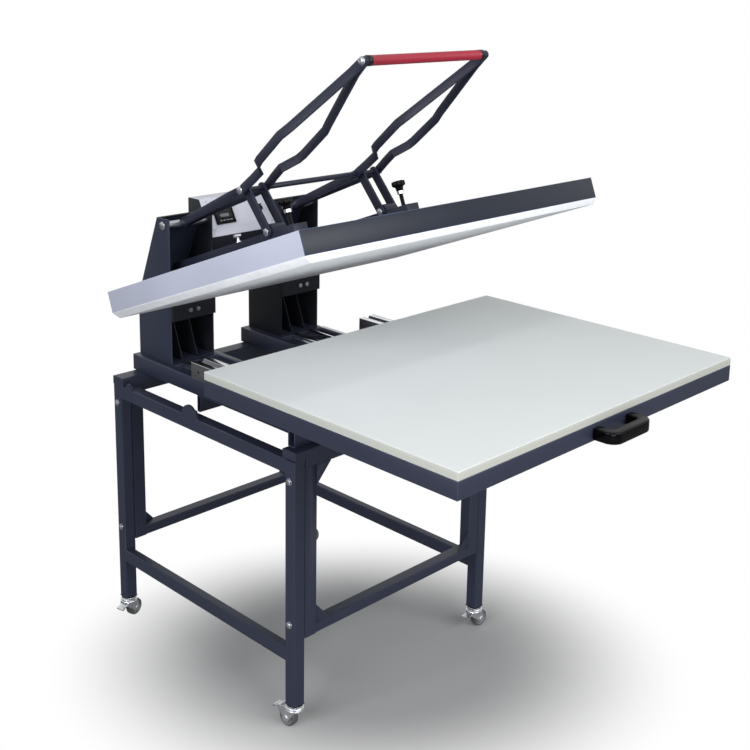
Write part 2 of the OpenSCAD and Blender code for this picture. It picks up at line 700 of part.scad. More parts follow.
module lever_pins() {
  a = bar_t / 2 + side_gap;
  d = lever_pin_d + 2 * pin_head;
  color("#b9bcc4") place() both() {
    rod_x(pillar_in, pillar_x + pin_head, lever_y, lever_z, lever_pin_d);
    hexrod_x(pillar_x, pillar_x + pin_head, lever_y, lever_z, d);
    rod_x(pillar_in + pillar_t, arm_x - bar_pivot - a, lever_y, lever_z, d);
    rod_x(arm_x - bar_pivot + a, arm_x + bar_pivot - a, lever_y, lever_z, d);
    rod_x(arm_x + bar_pivot + a, pillar_x - pillar_t, lever_y, lever_z, d);
  }
}
module head_pins() {
  d = head_pin_d + 2 * pin_head;
  color("#b9bcc4") place() both() {
    rod_x(pillar_in - pin_head / 2, pillar_x + pin_head / 2, head_y, head_z, head_pin_d);
    for (x = [pillar_in - pin_head / 2, pillar_x]) rod_x(x, x + pin_head / 2, head_y, head_z, d);
    rod_x(pillar_in + pillar_t, arm_x - arm_w / 2 - side_gap, head_y, head_z, d);
    rod_x(arm_x + arm_w / 2 + side_gap, pillar_x - pillar_t, head_y, head_z, d);
  }
}

// ---- Control box between the pillars
box_x = pillar_in - cap_t;
box_rear = pillar_y + box_back;
box_z = deck_z + box_up;
slope_a = atan2(panel_rise, panel_run);
box_low = box_z - panel_rise;
box_front = box_rear - box_top_d - panel_run;
function box_shape(t) = [[box_front + t, box_low - box_skirt + t], [box_front + t, box_low - t / 2],
  [box_front + panel_run + t / 2, box_z - t], [box_rear - t, box_z - t], [box_rear - t, box_low - box_skirt + t]];
module control_box() {
  color("#dfe0e2") place() difference() {
    slab_x(-box_x, box_x) polygon(box_shape(0));
    slab_x(-box_x - over, box_x + over) polygon(box_shape(box_t));
    on_slope() translate([-ctl_x - ctl_s * 0.45, ctl_up - ctl_s * 0.45, -ctl_s]) cube([ctl_s * 0.9, ctl_s * 0.9, 2 * ctl_s]);
    on_slope() rod_z(-sw_d, sw_d, sw_x, sw_up, sw_d / 3 + 2 * run_gap);
    rod_inlet(over);
  }
}
// The sloped face as a plane: X across, Y up the slope, Z out of it, its middle at the origin
module on_slope() {
  translate([0, box_front + panel_run / 2, box_low + panel_rise / 2]) rotate([slope_a, 0, 0]) children();
}
inlet_w = 28;
inlet_h = 22;
module rod_inlet(e) {
  bx(-inlet_w / 2, inlet_w / 2, box_rear - box_t - e, box_rear + e, box_low, box_low + inlet_h);
}
module control_caps() {
  color("#2b2d35") place() both() slab_x(box_x, pillar_in) polygon(box_shape(0));
}
panel_t = 1.5;
module control_panel() {
  l = norm([panel_run, panel_rise]) * 0.96;
  color("#e6e7e9") place() on_slope() difference() {
    translate([-panel_w / 2, -l / 2, 0]) cube([panel_w, l, panel_t]);
    translate([-ctl_x - ctl_s * 0.45, ctl_up - ctl_s * 0.45, -over]) cube([ctl_s * 0.9, ctl_s * 0.9, panel_t + 2 * over]);
    rod_z(-over, panel_t + over, sw_x, sw_up, sw_d / 3 + 2 * run_gap);
  }
}
module temperature_controller() {
  b = ctl_s * 0.09;
  key_d = ctl_s / 10;
  color("#17181c") place() on_slope() translate([0, ctl_up, 0]) difference() {
    union() {
      translate([-ctl_x - ctl_s / 2, -ctl_s / 2, panel_t]) cube([ctl_s, ctl_s, b]);
      translate([-ctl_x - ctl_s * 0.44, -ctl_s * 0.44, -ctl_s * 0.6]) cube([ctl_s * 0.88, ctl_s * 0.88, ctl_s * 0.6 + panel_t]);
      for (i = [-1.5:1:1.5]) rod_z(panel_t + b / 2, panel_t + b + b / 4, -ctl_x + i * ctl_s / 5, -ctl_s * 0.34, key_d);
    }
    for (v = [[0.22, 0.2], [-0.08, 0.2]])
      translate([-ctl_x - ctl_s * 0.4, ctl_s * (v[0] - v[1] / 2), panel_t + b * 0.7]) cube([ctl_s * 0.8, ctl_s * v[1], b]);
  }
}
module rotary_switch() {
  color("#1b1c20") place() on_slope() translate([0, sw_up, 0]) {
    rod_z(-sw_d / 2, panel_t + side_gap, sw_x, 0, sw_d / 3);
    rod_z(panel_t + side_gap, panel_t + side_gap + sw_d * 0.35, sw_x, 0, sw_d);
    translate([sw_x - sw_d / 8, -sw_d * 0.44, panel_t + side_gap]) cube([sw_d / 4, sw_d * 0.88, sw_d * 0.7]);
  }
}
module power_inlet() {
  g = fit;
  m = inlet_w / 8;
  color("#17181c") place() difference() {
    union() {
      bx(-inlet_w / 2 + g, inlet_w / 2 - g, box_rear - inlet_h, box_rear, box_low + g, box_low + inlet_h - g);
      bx(-inlet_w / 2 - m, inlet_w / 2 + m, box_rear, box_rear + m, box_low - m, box_low + inlet_h + m);
    }
    bx(-inlet_w / 2 + m, inlet_w / 2 - m, box_rear - inlet_h * 0.7, box_rear + m + over, box_low + m, box_low + inlet_h - m);
  }
}

// ---- Head, drawn in its own plane: Y back from the platen's front, Z up from its top
module head() {
  place() translate([0, head_y, head_z]) rotate([-head_tilt, 0, 0]) translate([0, -hinge_s, -hinge_n]) children();
}
module platen_cover() {
  w = platen_w / 2;
  color("#b9bed0") head() difference() {
    bx(-w, w, cover_t, platen_d, -cover_h, 0);
    bx(-w + cover_t, w - cover_t, -over, platen_d - cover_t, -cover_h - over, -cover_t);
  }
}
module front_cover() { color("#414658") head() bx(-platen_w / 2, platen_w / 2, 0, cover_t, -cover_h, 0); }
// Part of the heated plate that stands inside the cover
heater_t = cover_h / 8;
module insulation() {
  w = platen_w / 2 - cover_t - fit;
  color("#d8d2c0") head()
    bx(-w, w, cover_t + fit, platen_d - cover_t - fit, -cover_h + heater_t, -cover_h + heater_t + blanket_t);
}
module heat_plate() {
  w = platen_w / 2;
  i = face_inset;
  j = face_inset_y;
  color("#a5aab2") head() {
    intersection() {
      slab_y(0, platen_d) polygon([[-w, -cover_h], [-w + i, -platen_t], [w - i, -platen_t], [w, -cover_h]]);
      slab_x(-w, w) polygon([[0, -cover_h], [j, -platen_t], [platen_d - j, -platen_t], [platen_d, -cover_h]]);
    }
    bx(-w + cover_t + fit, w - cover_t - fit, cover_t + fit, platen_d - cover_t - fit, -cover_h - 5 * fit, -cover_h + heater_t);
  }
}
hinge_ring = 10;
hinge_r = head_pin_d / 2 + hinge_ring;
module arm_outline() {
  polygon([[arm_front, 0], [arm_front, arm_h], [hinge_s - hinge_r / 2, arm_h], [hinge_s + hinge_r, arm_h * 0.4],
    [hinge_s + hinge_r, hinge_n], [hinge_s - hinge_r, hinge_n], [hinge_s - hinge_r * 1.5, hinge_n * 0.25],
    [hinge_s - hinge_r * 2.4, 0]]);
  translate([hinge_s, hinge_n]) circle(hinge_r);
  translate([link_s, link_n]) circle(link_lug_r);
}
module arm() {
  a = arm_x - arm_w / 2;
  b = arm_x + arm_w / 2;
  difference() {
    union() {
      difference() {
        slab_x(a, b) arm_outline();
        bx(a + arm_t, b - arm_t, arm_front + 2 * arm_t, hinge_s - hinge_r, arm_t, arm_h - arm_t);
        bx(a + cheek_t, b - cheek_t, hinge_s - hinge_r * 1.6, hinge_s + hinge_r + over,
          hinge_n - hinge_r - over, arm_h - arm_t);
      }
      rod_x(a, b, hinge_s, hinge_n, 2 * (hinge_r - pin_head / 2));
      rod_x(a, b, link_s, link_n, 2 * link_lug_r);
    }
    rod_x(a - over, b + over, hinge_s, hinge_n, head_pin_d + 2 * run_gap);
    rod_x(a - over, b + over, link_s, link_n, link_axle_d);
    rod_z(-over, arm_h + over, arm_x, knob_s, spindle_d + 2 * run_gap);
    rod_z(arm_h - arm_t - over, arm_h + over, arm_x, tee_s, bolt_d);
  }
}
module arm_left() { color("#3a3d4a") head() side(true) arm(); }
module arm_right() { color("#3a3d4a") head() arm(); }
link_face = arm_w / 2 + side_gap;
module link_pins() {
  l = link_face - 2 * side_gap;
  color("#b9bcc4") head() both() rod_x(arm_x - l, arm_x + l, link_s, link_n, link_axle_d);
}
module tee_bolts() {
  color("#c9cbd0") head() side(true) {
    rod_z(arm_h - 2 * arm_t, arm_h + 2 * bolt_d, arm_x, tee_s, bolt_d);
    rod_z(arm_h, arm_h + bolt_d / 2, arm_x, tee_s, 2 * bolt_d);
    rod_x(arm_x - 1.3 * bolt_d, arm_x + 1.3 * bolt_d, tee_s, arm_h + 2.4 * bolt_d, bolt_d);
  }
}
collar_h = spindle_d / 2;
module pressure_knob() {
  translate([arm_x, knob_s, 0]) {
    rod_z(side_gap, knob_n, 0, 0, spindle_d);
    rod_z(knob_n - collar_h, knob_n, 0, 0, 1.7 * spindle_d);
    rod_z(knob_n, knob_n + knob_h, 0, 0, knob_d * 0.84);
    for (k = [0:7]) rotate(k * 45) rod_z(knob_n + knob_h * 0.15, knob_n + knob_h * 0.85, knob_d * 0.39, 0, knob_d * 0.22);
  }
}
module pressure_knob_left() { color("#1d1e24") head() side(true) pressure_knob(); }
module pressure_knob_right() { color("#1d1e24") head() pressure_knob(); }

// ---- Lever, drawn from the link axle along its own bars
function thick(p, t, i) = let (
    a = p[max(i - 1, 0)], b = p[i], c = p[min(i + 1, len(p) - 1)],
    u = i == 0 ? c - b : b - a, v = i == len(p) - 1 ? b - a : c - b,
    n = u / norm(u) + v / norm(v), m = [-n[1], n[0]] / norm(n),
    k = abs(m * [-u[1], u[0]] / norm(u))) b + m * t / k;
module ribbon(p, t) {
  polygon(concat([for (i = [0:len(p) - 1]) thick(p, t / 2, i)], [for (i = [len(p) - 1:-1:0]) thick(p, -t / 2, i)]));
}
// A bar's course seen square to the lever: distance along it, then offset across it
function bar_front(s, g) = [[0, s * bar_axle], [bar_w / 2, s * bar_axle], [waist_r * 0.55, s * bar_waist * 1.06], [waist_r, s * bar_waist],
  [shoulder_r - waist_r * 0.1, s * bar_shoulder * 0.93], [shoulder_r + waist_r * 0.12, s * bar_shoulder],
  [neck_r, s * bar_neck], [neck_r + waist_r * 0.4, s * bar_neck * 0.84],
  [grip_r - waist_r * 0.5, g + s * bar_t * 1.1], [grip_r - bar_w / 2, g + s * (bar_t + fit) / 2],
  [grip_r, g + s * (bar_t + fit) / 2]];
function bar_rear(s) = [[0, s * bar_axle], [lever_r * 0.16, s * bar_axle], [lever_r * 0.84, s * bar_pivot],
  [lever_r, s * bar_pivot]];
// Side plane frame at the axle, X' pointing along the lever towards the grip, extruded across the bar's width
module along_grip(w) {
  translate([arm_x, axle_y, axle_z]) rotate([-grip_rise, 0, 0]) rotate([0, 0, -90])
    translate([0, 0, -w / 2]) linear_extrude(w) children();
}
module along_rear(w) {
  translate([arm_x, axle_y, axle_z]) rotate([-lever_rise, 0, 0]) rotate([0, 0, 90])
    translate([0, 0, -w / 2]) linear_extrude(w) children();
}
eye_d = bar_w * 0.94;
function grip_y() = axle_y - grip_r * cos(grip_rise);
function grip_z() = axle_z + grip_r * sin(grip_rise);
// The rear stretch of a bar is a little thinner than its front, and its eyes lie between the two
rear_t = bar_t - 3 * fit;
eye_t = bar_t - 1.5 * fit;
module eye(x, y, z) { rod_x(arm_x + x - eye_t / 2, arm_x + x + eye_t / 2, y, z, eye_d); }
module lever_bars() {
  difference() {
    union() {
      for (s = [-1, 1]) {
        along_grip(bar_w) ribbon(bar_front(s, grip_shift), bar_t);
        along_rear(bar_w) ribbon([for (q = bar_rear(s)) [q[0], -q[1]]], rear_t);
        eye(s * bar_axle, axle_y, axle_z);
        eye(s * bar_pivot, lever_y, lever_z);
        eye(grip_shift + s * (bar_t + fit) / 2, grip_y(), grip_z());
      }
    }
    rod_x(arm_x - 2 * bar_axle, arm_x + 2 * bar_axle, axle_y, axle_z, link_axle_d);
    rod_x(arm_x - 2 * bar_axle, arm_x + 2 * bar_axle, lever_y, lever_z, lever_pin_d + 2 * run_gap);
    rod_x(arm_x - 2 * bar_axle, arm_x + 2 * bar_axle, grip_y(), grip_z(), grip_rod_d);
  }
}
module lever_bars_left() { color("#3a3d4a") place() side(true) lever_bars(); }
module lever_bars_right() { color("#3a3d4a") place() lever_bars(); }
axle_in = arm_x - bar_axle - bar_t / 2;
axle_out = arm_x + bar_axle + bar_t / 2;
module lever_axle() {
  head_w = 1.6 * link_axle_d;
  color("#b9bcc4") place() {
    rod_x(-axle_out, axle_out, axle_y, axle_z, link_axle_d);
    rod_x(-axle_in, axle_in, axle_y, axle_z, cross_tube_d);
    both() for (s = [-1, 1]) translate([arm_x, 0, 0]) mirror([s < 0 ? 1 : 0, 0, 0])
      rod_x(link_face + link_t + side_gap, bar_axle - bar_t / 2, axle_y, axle_z, 1.7 * link_axle_d);
    for (s = [-1, 1]) translate([s * (axle_out + bar_t / 2), 0, 0]) hexrod_x(-bar_t / 2, bar_t / 2, axle_y, axle_z, head_w);
  }
}
grip_end = arm_x + grip_shift + bar_t + fit;
grip_head = bar_t;
module grip_rod() {
  color("#b9bcc4") place() {
    rod_x(-grip_end - grip_head, grip_end + grip_head, grip_y(), grip_z(), grip_rod_d);
    for (s = [-1, 1]) translate([s * (grip_end + grip_head / 2), 0, 0])
      rod_x(-grip_head / 2, grip_head / 2, grip_y(), grip_z(), 1.5 * grip_rod_d);
  }
}
sleeve_end = arm_x + grip_shift - bar_t - 2 * fit - collar_w;
module grip_sleeve() {
  color("#b92d3c") place() difference() {
    union() {
      rod_x(-sleeve_end, sleeve_end, grip_y(), grip_z(), grip_d);
      for (s = [-1, 1]) translate([s * (sleeve_end + collar_w / 2), 0, 0])
        rod_x(-collar_w / 2, collar_w / 2, grip_y(), grip_z(), 1.04 * grip_d);
    }
    rod_x(-grip_end, grip_end, grip_y(), grip_z(), grip_rod_d);
  }
}
module link_plates() {
  color("#33363f") place() both() for (s = [-1, 1]) difference() {
    translate([arm_x + s * (link_face + link_t / 2) - link_t / 2, axle_y, axle_z]) slab_x(0, link_t) rotate(link_a) union() {
      translate([-link_l, -link_w / 2]) square([link_l, link_w]);
      circle(d = link_w);
      translate([-link_l, 0]) circle(d = link_w);
    }
    rod_x(arm_x - 2 * bar_axle, arm_x + 2 * bar_axle, axle_y, axle_z, link_axle_d + 2 * run_gap);
    rod_x(arm_x - 2 * bar_axle, arm_x + 2 * bar_axle, link_pt[0], link_pt[1], link_axle_d);
  }
}
// Short link bolts end inside the plates, so the pivot at the arm's lug stays open
module link_bolts() {
  color("#c6c8cc") place() both() for (s = [-1, 1]) translate([arm_x, 0, 0]) mirror([s < 0 ? 1 : 0, 0, 0]) {
    rod_x(link_face, link_face + link_t, link_pt[0], link_pt[1], link_axle_d);
    hexrod_x(link_face + link_t, link_face + 1.9 * link_t, link_pt[0], link_pt[1], 1.5 * link_axle_d);
  }
}

// ---- Drawer
tray_z = pad_z - pad_t;
runner_z = pad_z - runner_drop;
carriage_z = runner_z - runner_h - carriage_t;
module pad() { color("#d8dddd") place() bx(-pad_w / 2, pad_w / 2, 0, pad_d, tray_z, pad_z); }
module drawer_tray() {
  w = pad_w / 2;
  t = tray_t;
  color("#3a3e4c") place() {
    difference() {
      bx(-w, w, 0, pad_d, tray_z - tray_h, tray_z);
      bx(-w + t, w - t, t, pad_d - t, tray_z - tray_h - over, tray_z - plate_t);
    }
    for (y = [runner_start, (pad_d - dbeam_w) / 2, pad_d - dbeam_w - runner_start]) difference() {
      bx(-runner_x, runner_x, y, y + dbeam_w, runner_z, tray_z - plate_t);
      bx(-runner_x - over, runner_x + over, y + dbeam_t, y + dbeam_w - dbeam_t, runner_z + dbeam_t,
        tray_z - plate_t - dbeam_t);
    }
  }
}
module drawer_runners() {
  xi = runner_x - runner_w;
  g = runner_h / 3;
  color("#8f9396") place() both() difference() {
    union() {
      bx(xi, runner_x, runner_start, runner_end, runner_z - runner_h, runner_z);
      bx(xi, runner_x, carriage_start, runner_end, carriage_z, runner_z - runner_h);
      bx(rail_x1 - block_w / 2, xi + over, carriage_start, carriage_start + carriage_l, carriage_z, runner_z - runner_h);
    }
    rod_y(runner_start - over, runner_end + over, (xi + runner_x) / 2, runner_z, 2 * g);
    rod_x(runner_x - g, runner_x + over, runner_end - runner_w / 2, runner_z - runner_h * 0.7, bolt_d);
  }
}
module bearing_blocks() {
  color("#9da1a6") place() both() for (x = [rail_x1, rail_x2])
    for (y = [carriage_start, carriage_start + carriage_l - block_l]) difference() {
      bx(x - block_w / 2, x + block_w / 2, y, y + block_l, bar_z - rail_bar_d * 0.3, carriage_z);
      rod_y(y - over, y + block_l + over, x, bar_z, rail_bar_d + 2 * run_gap);
      bx(x - web_w * 0.8, x + web_w * 0.8, y - over, y + block_l + over, floor_z, bar_z);
    }
}
// Pads on the front cross member carry the front ends of the runners
module runner_pads() {
  xm = runner_x - runner_w / 2;
  color("#e2e0d8") place() both() bx(xm - runner_w / 3, xm + runner_w / 3, beam_y - cross_d + cross_t, beam_y - cross_t,
    deck_z, runner_z - runner_h - side_gap);
}
handle_r = handle_reach / 2;
module drawer_handle() {
  w = handle_pitch / 2 + handle_t / 2;
  hw = w - handle_t;
  z = pad_z - handle_drop;
  color("#15161b") place() slab_z(z - handle_h / 2, z + handle_h / 2) difference() {
    union() {
      translate([-w, -handle_reach + handle_r]) square([2 * w, handle_reach - handle_r]);
      translate([-w + handle_r, -handle_reach]) square([2 * (w - handle_r), handle_reach]);
      for (s = [-1, 1]) translate([s * (w - handle_r), -handle_reach + handle_r]) circle(handle_r);
    }
    translate([-hw, -handle_reach + handle_t + handle_r / 3]) square([2 * hw, handle_reach]);
    translate([-hw + handle_r / 3, -handle_reach + handle_t]) square([2 * (hw - handle_r / 3), handle_reach]);
    for (s = [-1, 1]) translate([s * (hw - handle_r / 3), -handle_reach + handle_t + handle_r / 3]) circle(handle_r / 3);
  }
}

side_frame_left();
side_frame_right();
front_frame();
rear_frame();
frame_bolts();
leg_plugs();
fork_at(0);  // caster_fork_fl
fork_at(1);  // caster_fork_fr
fork_at(2);  // caster_fork_rl
fork_at(3);  // caster_fork_rr
wheel_at(0);  // caster_wheel_fl
wheel_at(1);  // caster_wheel_fr
wheel_at(2);  // caster_wheel_rl
wheel_at(3);  // caster_wheel_rr
pedal_at(0);  // brake_pedal_fl
pedal_at(1);  // brake_pedal_fr
pedal_at(2);  // brake_pedal_rl
pedal_at(3);  // brake_pedal_rr
beam_left();
beam_right();
front_cross_member();
mid_cross_member();
guide_rails();
ledge_strip();
runner_pads();
pillar_left();
pillar_right();
pillar_ribs();
pillar_braces();
brace_bolts();
lever_pins();
head_pins();
control_box();
control_caps();
control_panel();
temperature_controller();
rotary_switch();
power_inlet();
platen_cover();
front_cover();
insulation();
heat_plate();
arm_left();
arm_right();
link_pins();
tee_bolts();
pressure_knob_left();
pressure_knob_right();
lever_bars_left();
lever_bars_right();
lever_axle();
grip_rod();
grip_sleeve();
link_plates();
link_bolts();
drawer_tray();
pad();
drawer_runners();
bearing_blocks();
drawer_handle();
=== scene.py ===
# %% [markdown]
# A floor-standing heat press: a tube stand on four casters, a chassis with two sheet pillars, a lever that
# pulls the heated upper platen down, and a drawer that slides out with a soft pad.
# %% Load the measured model
import json
import math
import bmesh
import bpy
from mathutils import Matrix, Vector

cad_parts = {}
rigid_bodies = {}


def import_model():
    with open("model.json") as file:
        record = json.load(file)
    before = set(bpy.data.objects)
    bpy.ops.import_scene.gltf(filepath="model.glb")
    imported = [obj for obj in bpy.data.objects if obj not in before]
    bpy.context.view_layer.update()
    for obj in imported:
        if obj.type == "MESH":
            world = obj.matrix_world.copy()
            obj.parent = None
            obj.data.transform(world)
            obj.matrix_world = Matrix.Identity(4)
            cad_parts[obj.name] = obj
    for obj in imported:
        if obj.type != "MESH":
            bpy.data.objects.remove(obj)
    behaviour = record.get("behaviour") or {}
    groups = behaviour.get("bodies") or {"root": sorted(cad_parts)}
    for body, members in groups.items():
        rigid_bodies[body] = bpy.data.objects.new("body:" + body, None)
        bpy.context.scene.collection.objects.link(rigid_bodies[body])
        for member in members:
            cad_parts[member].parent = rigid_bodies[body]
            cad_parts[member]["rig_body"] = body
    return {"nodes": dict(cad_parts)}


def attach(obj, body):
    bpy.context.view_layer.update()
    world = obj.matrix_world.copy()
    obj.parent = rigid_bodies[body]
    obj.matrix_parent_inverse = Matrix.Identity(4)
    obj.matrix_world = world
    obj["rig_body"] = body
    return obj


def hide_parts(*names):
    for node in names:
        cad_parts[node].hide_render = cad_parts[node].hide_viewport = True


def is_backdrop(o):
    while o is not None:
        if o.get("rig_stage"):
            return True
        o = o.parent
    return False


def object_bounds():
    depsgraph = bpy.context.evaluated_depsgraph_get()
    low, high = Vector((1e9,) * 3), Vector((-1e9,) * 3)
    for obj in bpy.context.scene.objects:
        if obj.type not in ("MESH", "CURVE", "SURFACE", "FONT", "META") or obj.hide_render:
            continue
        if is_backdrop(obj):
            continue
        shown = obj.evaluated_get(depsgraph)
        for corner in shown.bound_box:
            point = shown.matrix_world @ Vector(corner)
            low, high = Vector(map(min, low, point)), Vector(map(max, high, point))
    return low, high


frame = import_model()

cad_low, cad_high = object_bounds()
nodes = frame["nodes"]
print("nodes", len(nodes), "size", [round(b - a, 4) for a, b in zip(cad_low, cad_high)])

# %% [markdown]
# The camera stands to the left in front of the press, a little above it, as the photographer stood. Its place
# and turn were worked out beforehand from corners with known sizes. The optical axis lies above the middle
# of the picture, which is a small downward shift of the lens.
# %% Camera
YAW, PITCH, ROLL = math.radians(45.27), math.radians(12.76), math.radians(-0.98)
CAMERA_PLACE = (-2.1464, -2.0636, 1.8868)
LENS, SENSOR_WIDTH, LENS_SHIFT = 57.03, 36, -0.1727
NEAREST, FURTHEST = 0.1, 60
ahead = Vector((math.sin(YAW) * math.cos(PITCH), math.cos(YAW) * math.cos(PITCH), -math.sin(PITCH)))
flat_right = Vector((math.cos(YAW), -math.sin(YAW), 0))
flat_down = ahead.cross(flat_right)
right = math.cos(ROLL) * flat_right + math.sin(ROLL) * flat_down
down = -math.sin(ROLL) * flat_right + math.cos(ROLL) * flat_down
camera = bpy.data.objects.new("camera", bpy.data.cameras.new("camera"))
bpy.context.scene.collection.objects.link(camera)
camera.data.lens, camera.data.sensor_width = LENS, SENSOR_WIDTH
camera.data.shift_y = LENS_SHIFT
camera.data.clip_start, camera.data.clip_end = NEAREST, FURTHEST
camera_axes = Matrix((right, -down, -ahead)).transposed().to_4x4()
camera.matrix_world = Matrix.Translation(CAMERA_PLACE) @ camera_axes
bpy.context.scene.camera = camera
print("camera at", [round(v, 3) for v in camera.location])

# %% [markdown]
# Shader maths reads best as plain sums. This small class wraps a socket, so that an expression such as
# 1 - mask * 0.3 adds its own Math nodes, also when the number stands in front.
# %% Sums on sockets
class Signal:
    """A number that changes over a surface."""

    def __init__(self, finish, socket):
        self.finish, self.socket = finish, socket

    def sum_up(self, operation, *terms):
        return self.finish.node("Math", dict(operation=operation), dict(enumerate(terms)))

    def __add__(self, other):
        return self.sum_up("ADD", self, other)

    def __sub__(self, other):
        return self.sum_up("SUBTRACT", self, other)

    def __rsub__(self, other):
        return self.sum_up("SUBTRACT", other, self)

    def __mul__(self, other):
        return self.sum_up("MULTIPLY", self, other)

    __radd__, __rmul__ = __add__, __mul__


print("sums ready")

# %% [markdown]
# A finish is one material. One method adds any shader node: settings first, then the values or links of its
# sockets. On top of that come the few patterns that this press needs: noise, a ramp, an edge mask that
# the rounding step leaves on the mesh, a colour mix, and a bump.
# %% Finishes
class Finish:
    def __init__(self, name, colour, roughness, metallic=0.0, **plain):
        self.material = bpy.data.materials.new(name)
        self.material.use_nodes = True
        self.tree = self.material.node_tree
        self.shader = self.tree.nodes["Principled BSDF"]
        self.colour = (*colour, 1)
        self.set_socket(self.shader.inputs["Base Color"], self.colour)
        self.set_socket(self.shader.inputs["Roughness"], roughness)
        self.set_socket(self.shader.inputs["Metallic"], metallic)
        for socket, value in plain.items():
            self.set_socket(self.shader.inputs[socket.replace("_", " ")], value)
        self.place = self.node("TexCoord", out="Object")
        self.eased = self.node("Attribute", dict(attribute_name="eased"), out="Fac")

    def set_socket(self, socket, value):
        if isinstance(value, Signal):
            self.tree.links.new(value.socket, socket)
        else:
            socket.default_value = value

    def node(self, kind, settings=None, sockets=None, out=0):
        made = self.tree.nodes.new("ShaderNode" + kind)
        for key, value in (settings or {}).items():
            if key == "stops":
                for stop, (spot, shade) in zip(made.color_ramp.elements, value):
                    stop.position, stop.color = spot, (shade, shade, shade, 1)
            elif key == "interpolation":
                made.color_ramp.interpolation = value
            else:
                setattr(made, key, value)
        for key, value in (sockets or {}).items():
            self.set_socket(made.inputs[key], value)
        return Signal(self, made.outputs[out])

    def stretch(self, scale):
        return self.node("Mapping", None, {"Vector": self.place, "Scale": scale})

    def noise(self, scale, detail, where=None):
        sockets = {"Vector": where or self.place, "Scale": scale, "Detail": detail, "Roughness": 0.5}
        return self.node("TexNoise", None, sockets)

    def ramp(self, signal, low, high, interpolation="LINEAR"):
        """Gives 0 up to low, 1 from high, and runs between them."""
        settings = dict(stops=((low, 0), (high, 1)), interpolation=interpolation)
        return self.node("ValToRGB", settings, {"Fac": signal})

    def blend(self, amount, first, second):
        return self.node("Mix", dict(data_type="RGBA"), {0: amount, 6: first, 7: second}, out=2)

    def tint(self, factor):
        return tuple(min(1.0, c * factor) for c in self.colour[:3]) + (1,)

    def bump(self, height, depth, strength):
        return self.node("Bump", None, {"Height": height, "Distance": depth, "Strength": strength})

    def wear(self, **sockets):
        for socket, value in sockets.items():
            self.set_socket(self.shader.inputs[socket.replace("_", " ")], value)
        return self


print("finish class ready")

# %% [markdown]
# The stand, chassis, arms and lever are powder coated: a hard dark film with a fine orange-peel texture. On
# every folded or ground edge the film is a little shinier, and the edge mask also makes it lighter there, which
# is a painted highlight. A slow noise keeps large faces from looking like one flat colour.
# %% Powder coat
CLOUD_SCALE, SPECK_SCALE, PEEL_SCALE = 5, 420, 1400
DARK_CLOUD, LIGHT_CLOUD, SPECK_TINT = 0.86, 1.14, 1.7
SPECK_FROM, SPECK_TO, SPECK_SHARE, EDGE_HIGHLIGHT_SHARE = 0.66, 0.74, 0.10, 0.35


# edge sets how much lighter the eased edges are painted, as a painted highlight
def powder_coat(name, colour, roughness, peel=0.00004, gloss=0.26, edge=1.9):
    coat = Finish(name, colour, roughness, Specular_IOR_Level=gloss)
    cloud, grain = coat.noise(CLOUD_SCALE, 3), coat.noise(PEEL_SCALE, 2)
    speck = coat.ramp(coat.noise(SPECK_SCALE, 1), SPECK_FROM, SPECK_TO)
    body = coat.blend(cloud, coat.tint(DARK_CLOUD), coat.tint(LIGHT_CLOUD))
    body = coat.blend(speck * SPECK_SHARE, body, coat.tint(SPECK_TINT))
    # the eased edges are painted lighter by the edge factor: a painted highlight
    body = coat.blend(coat.eased * EDGE_HIGHLIGHT_SHARE, body, coat.tint(edge))
    sheen = roughness - 0.06 + cloud * 0.12 - coat.eased * 0.08
    return coat.wear(Base_Color=body, Roughness=sheen, Normal=coat.bump(grain, peel, 0.6))


frame_coat = powder_coat("navy_powder_coat", (0.021, 0.025, 0.045), 0.40, edge=2.8)
# this dark coat also serves as painted shade on the pillars' inner faces
dark_coat_and_shade = powder_coat("dark_powder_coat_and_painted_shade", (0.009, 0.010, 0.014), 0.46, gloss=0.2)
arm_coat = powder_coat("arm_powder_coat", (0.016, 0.018, 0.034), 0.38)
# the navy cover's eased edges are painted far lighter: a painted highlight along its lip
cover_navy = powder_coat("navy_cover_coat", (0.010, 0.0135, 0.024), 0.36, 0.00003, gloss=0.22, edge=25.0)
cover_silver = powder_coat("silver_cover_coat", (0.40, 0.42, 0.515), 0.34, 0.00002, 0.4, 1.6)
box_white = powder_coat("white_box_coat", (0.56, 0.57, 0.64), 0.36, 0.00003, 0.4, 1.2)
print("powder coats", 6)

# %% [markdown]
# Bare metal comes in five kinds here: zinc plating on bolts, brighter zinc on the casters and the knobs'
# collars, ground steel on the guide rails, an aluminium extrusion on the runners, and the milled heating
# plate. Drawn and milled metal shows fine lines along the direction in which it was worked, so the
# noise is stretched that way.
# %% Metals
LINE_SCALES = {"x": (6, 900, 900), "y": (900, 6, 900), "none": (300, 300, 300)}
STAIN_SCALE, STAIN_GLOSS, LINE_DEPTH = 40, 0.06, 0.00002


def metal(name, colour, roughness, along="none", lines=0.10, bareness=1.0, rim=1.1):
    bare = Finish(name, colour, roughness, bareness)
    cloud = bare.noise(STAIN_SCALE, 4)
    streak = bare.noise(1.0, 3, bare.stretch(LINE_SCALES[along]))
    body = bare.blend(cloud, bare.tint(0.80), bare.tint(1.12))
    # the rim factor paints the eased edges lighter: a painted highlight
    return bare.wear(Base_Color=bare.blend(bare.eased * 0.8, body, bare.tint(rim)),
                     Roughness=roughness + streak * lines + cloud * STAIN_GLOSS - bare.eased * 0.05,
                     Normal=bare.bump(streak, LINE_DEPTH, 0.35))


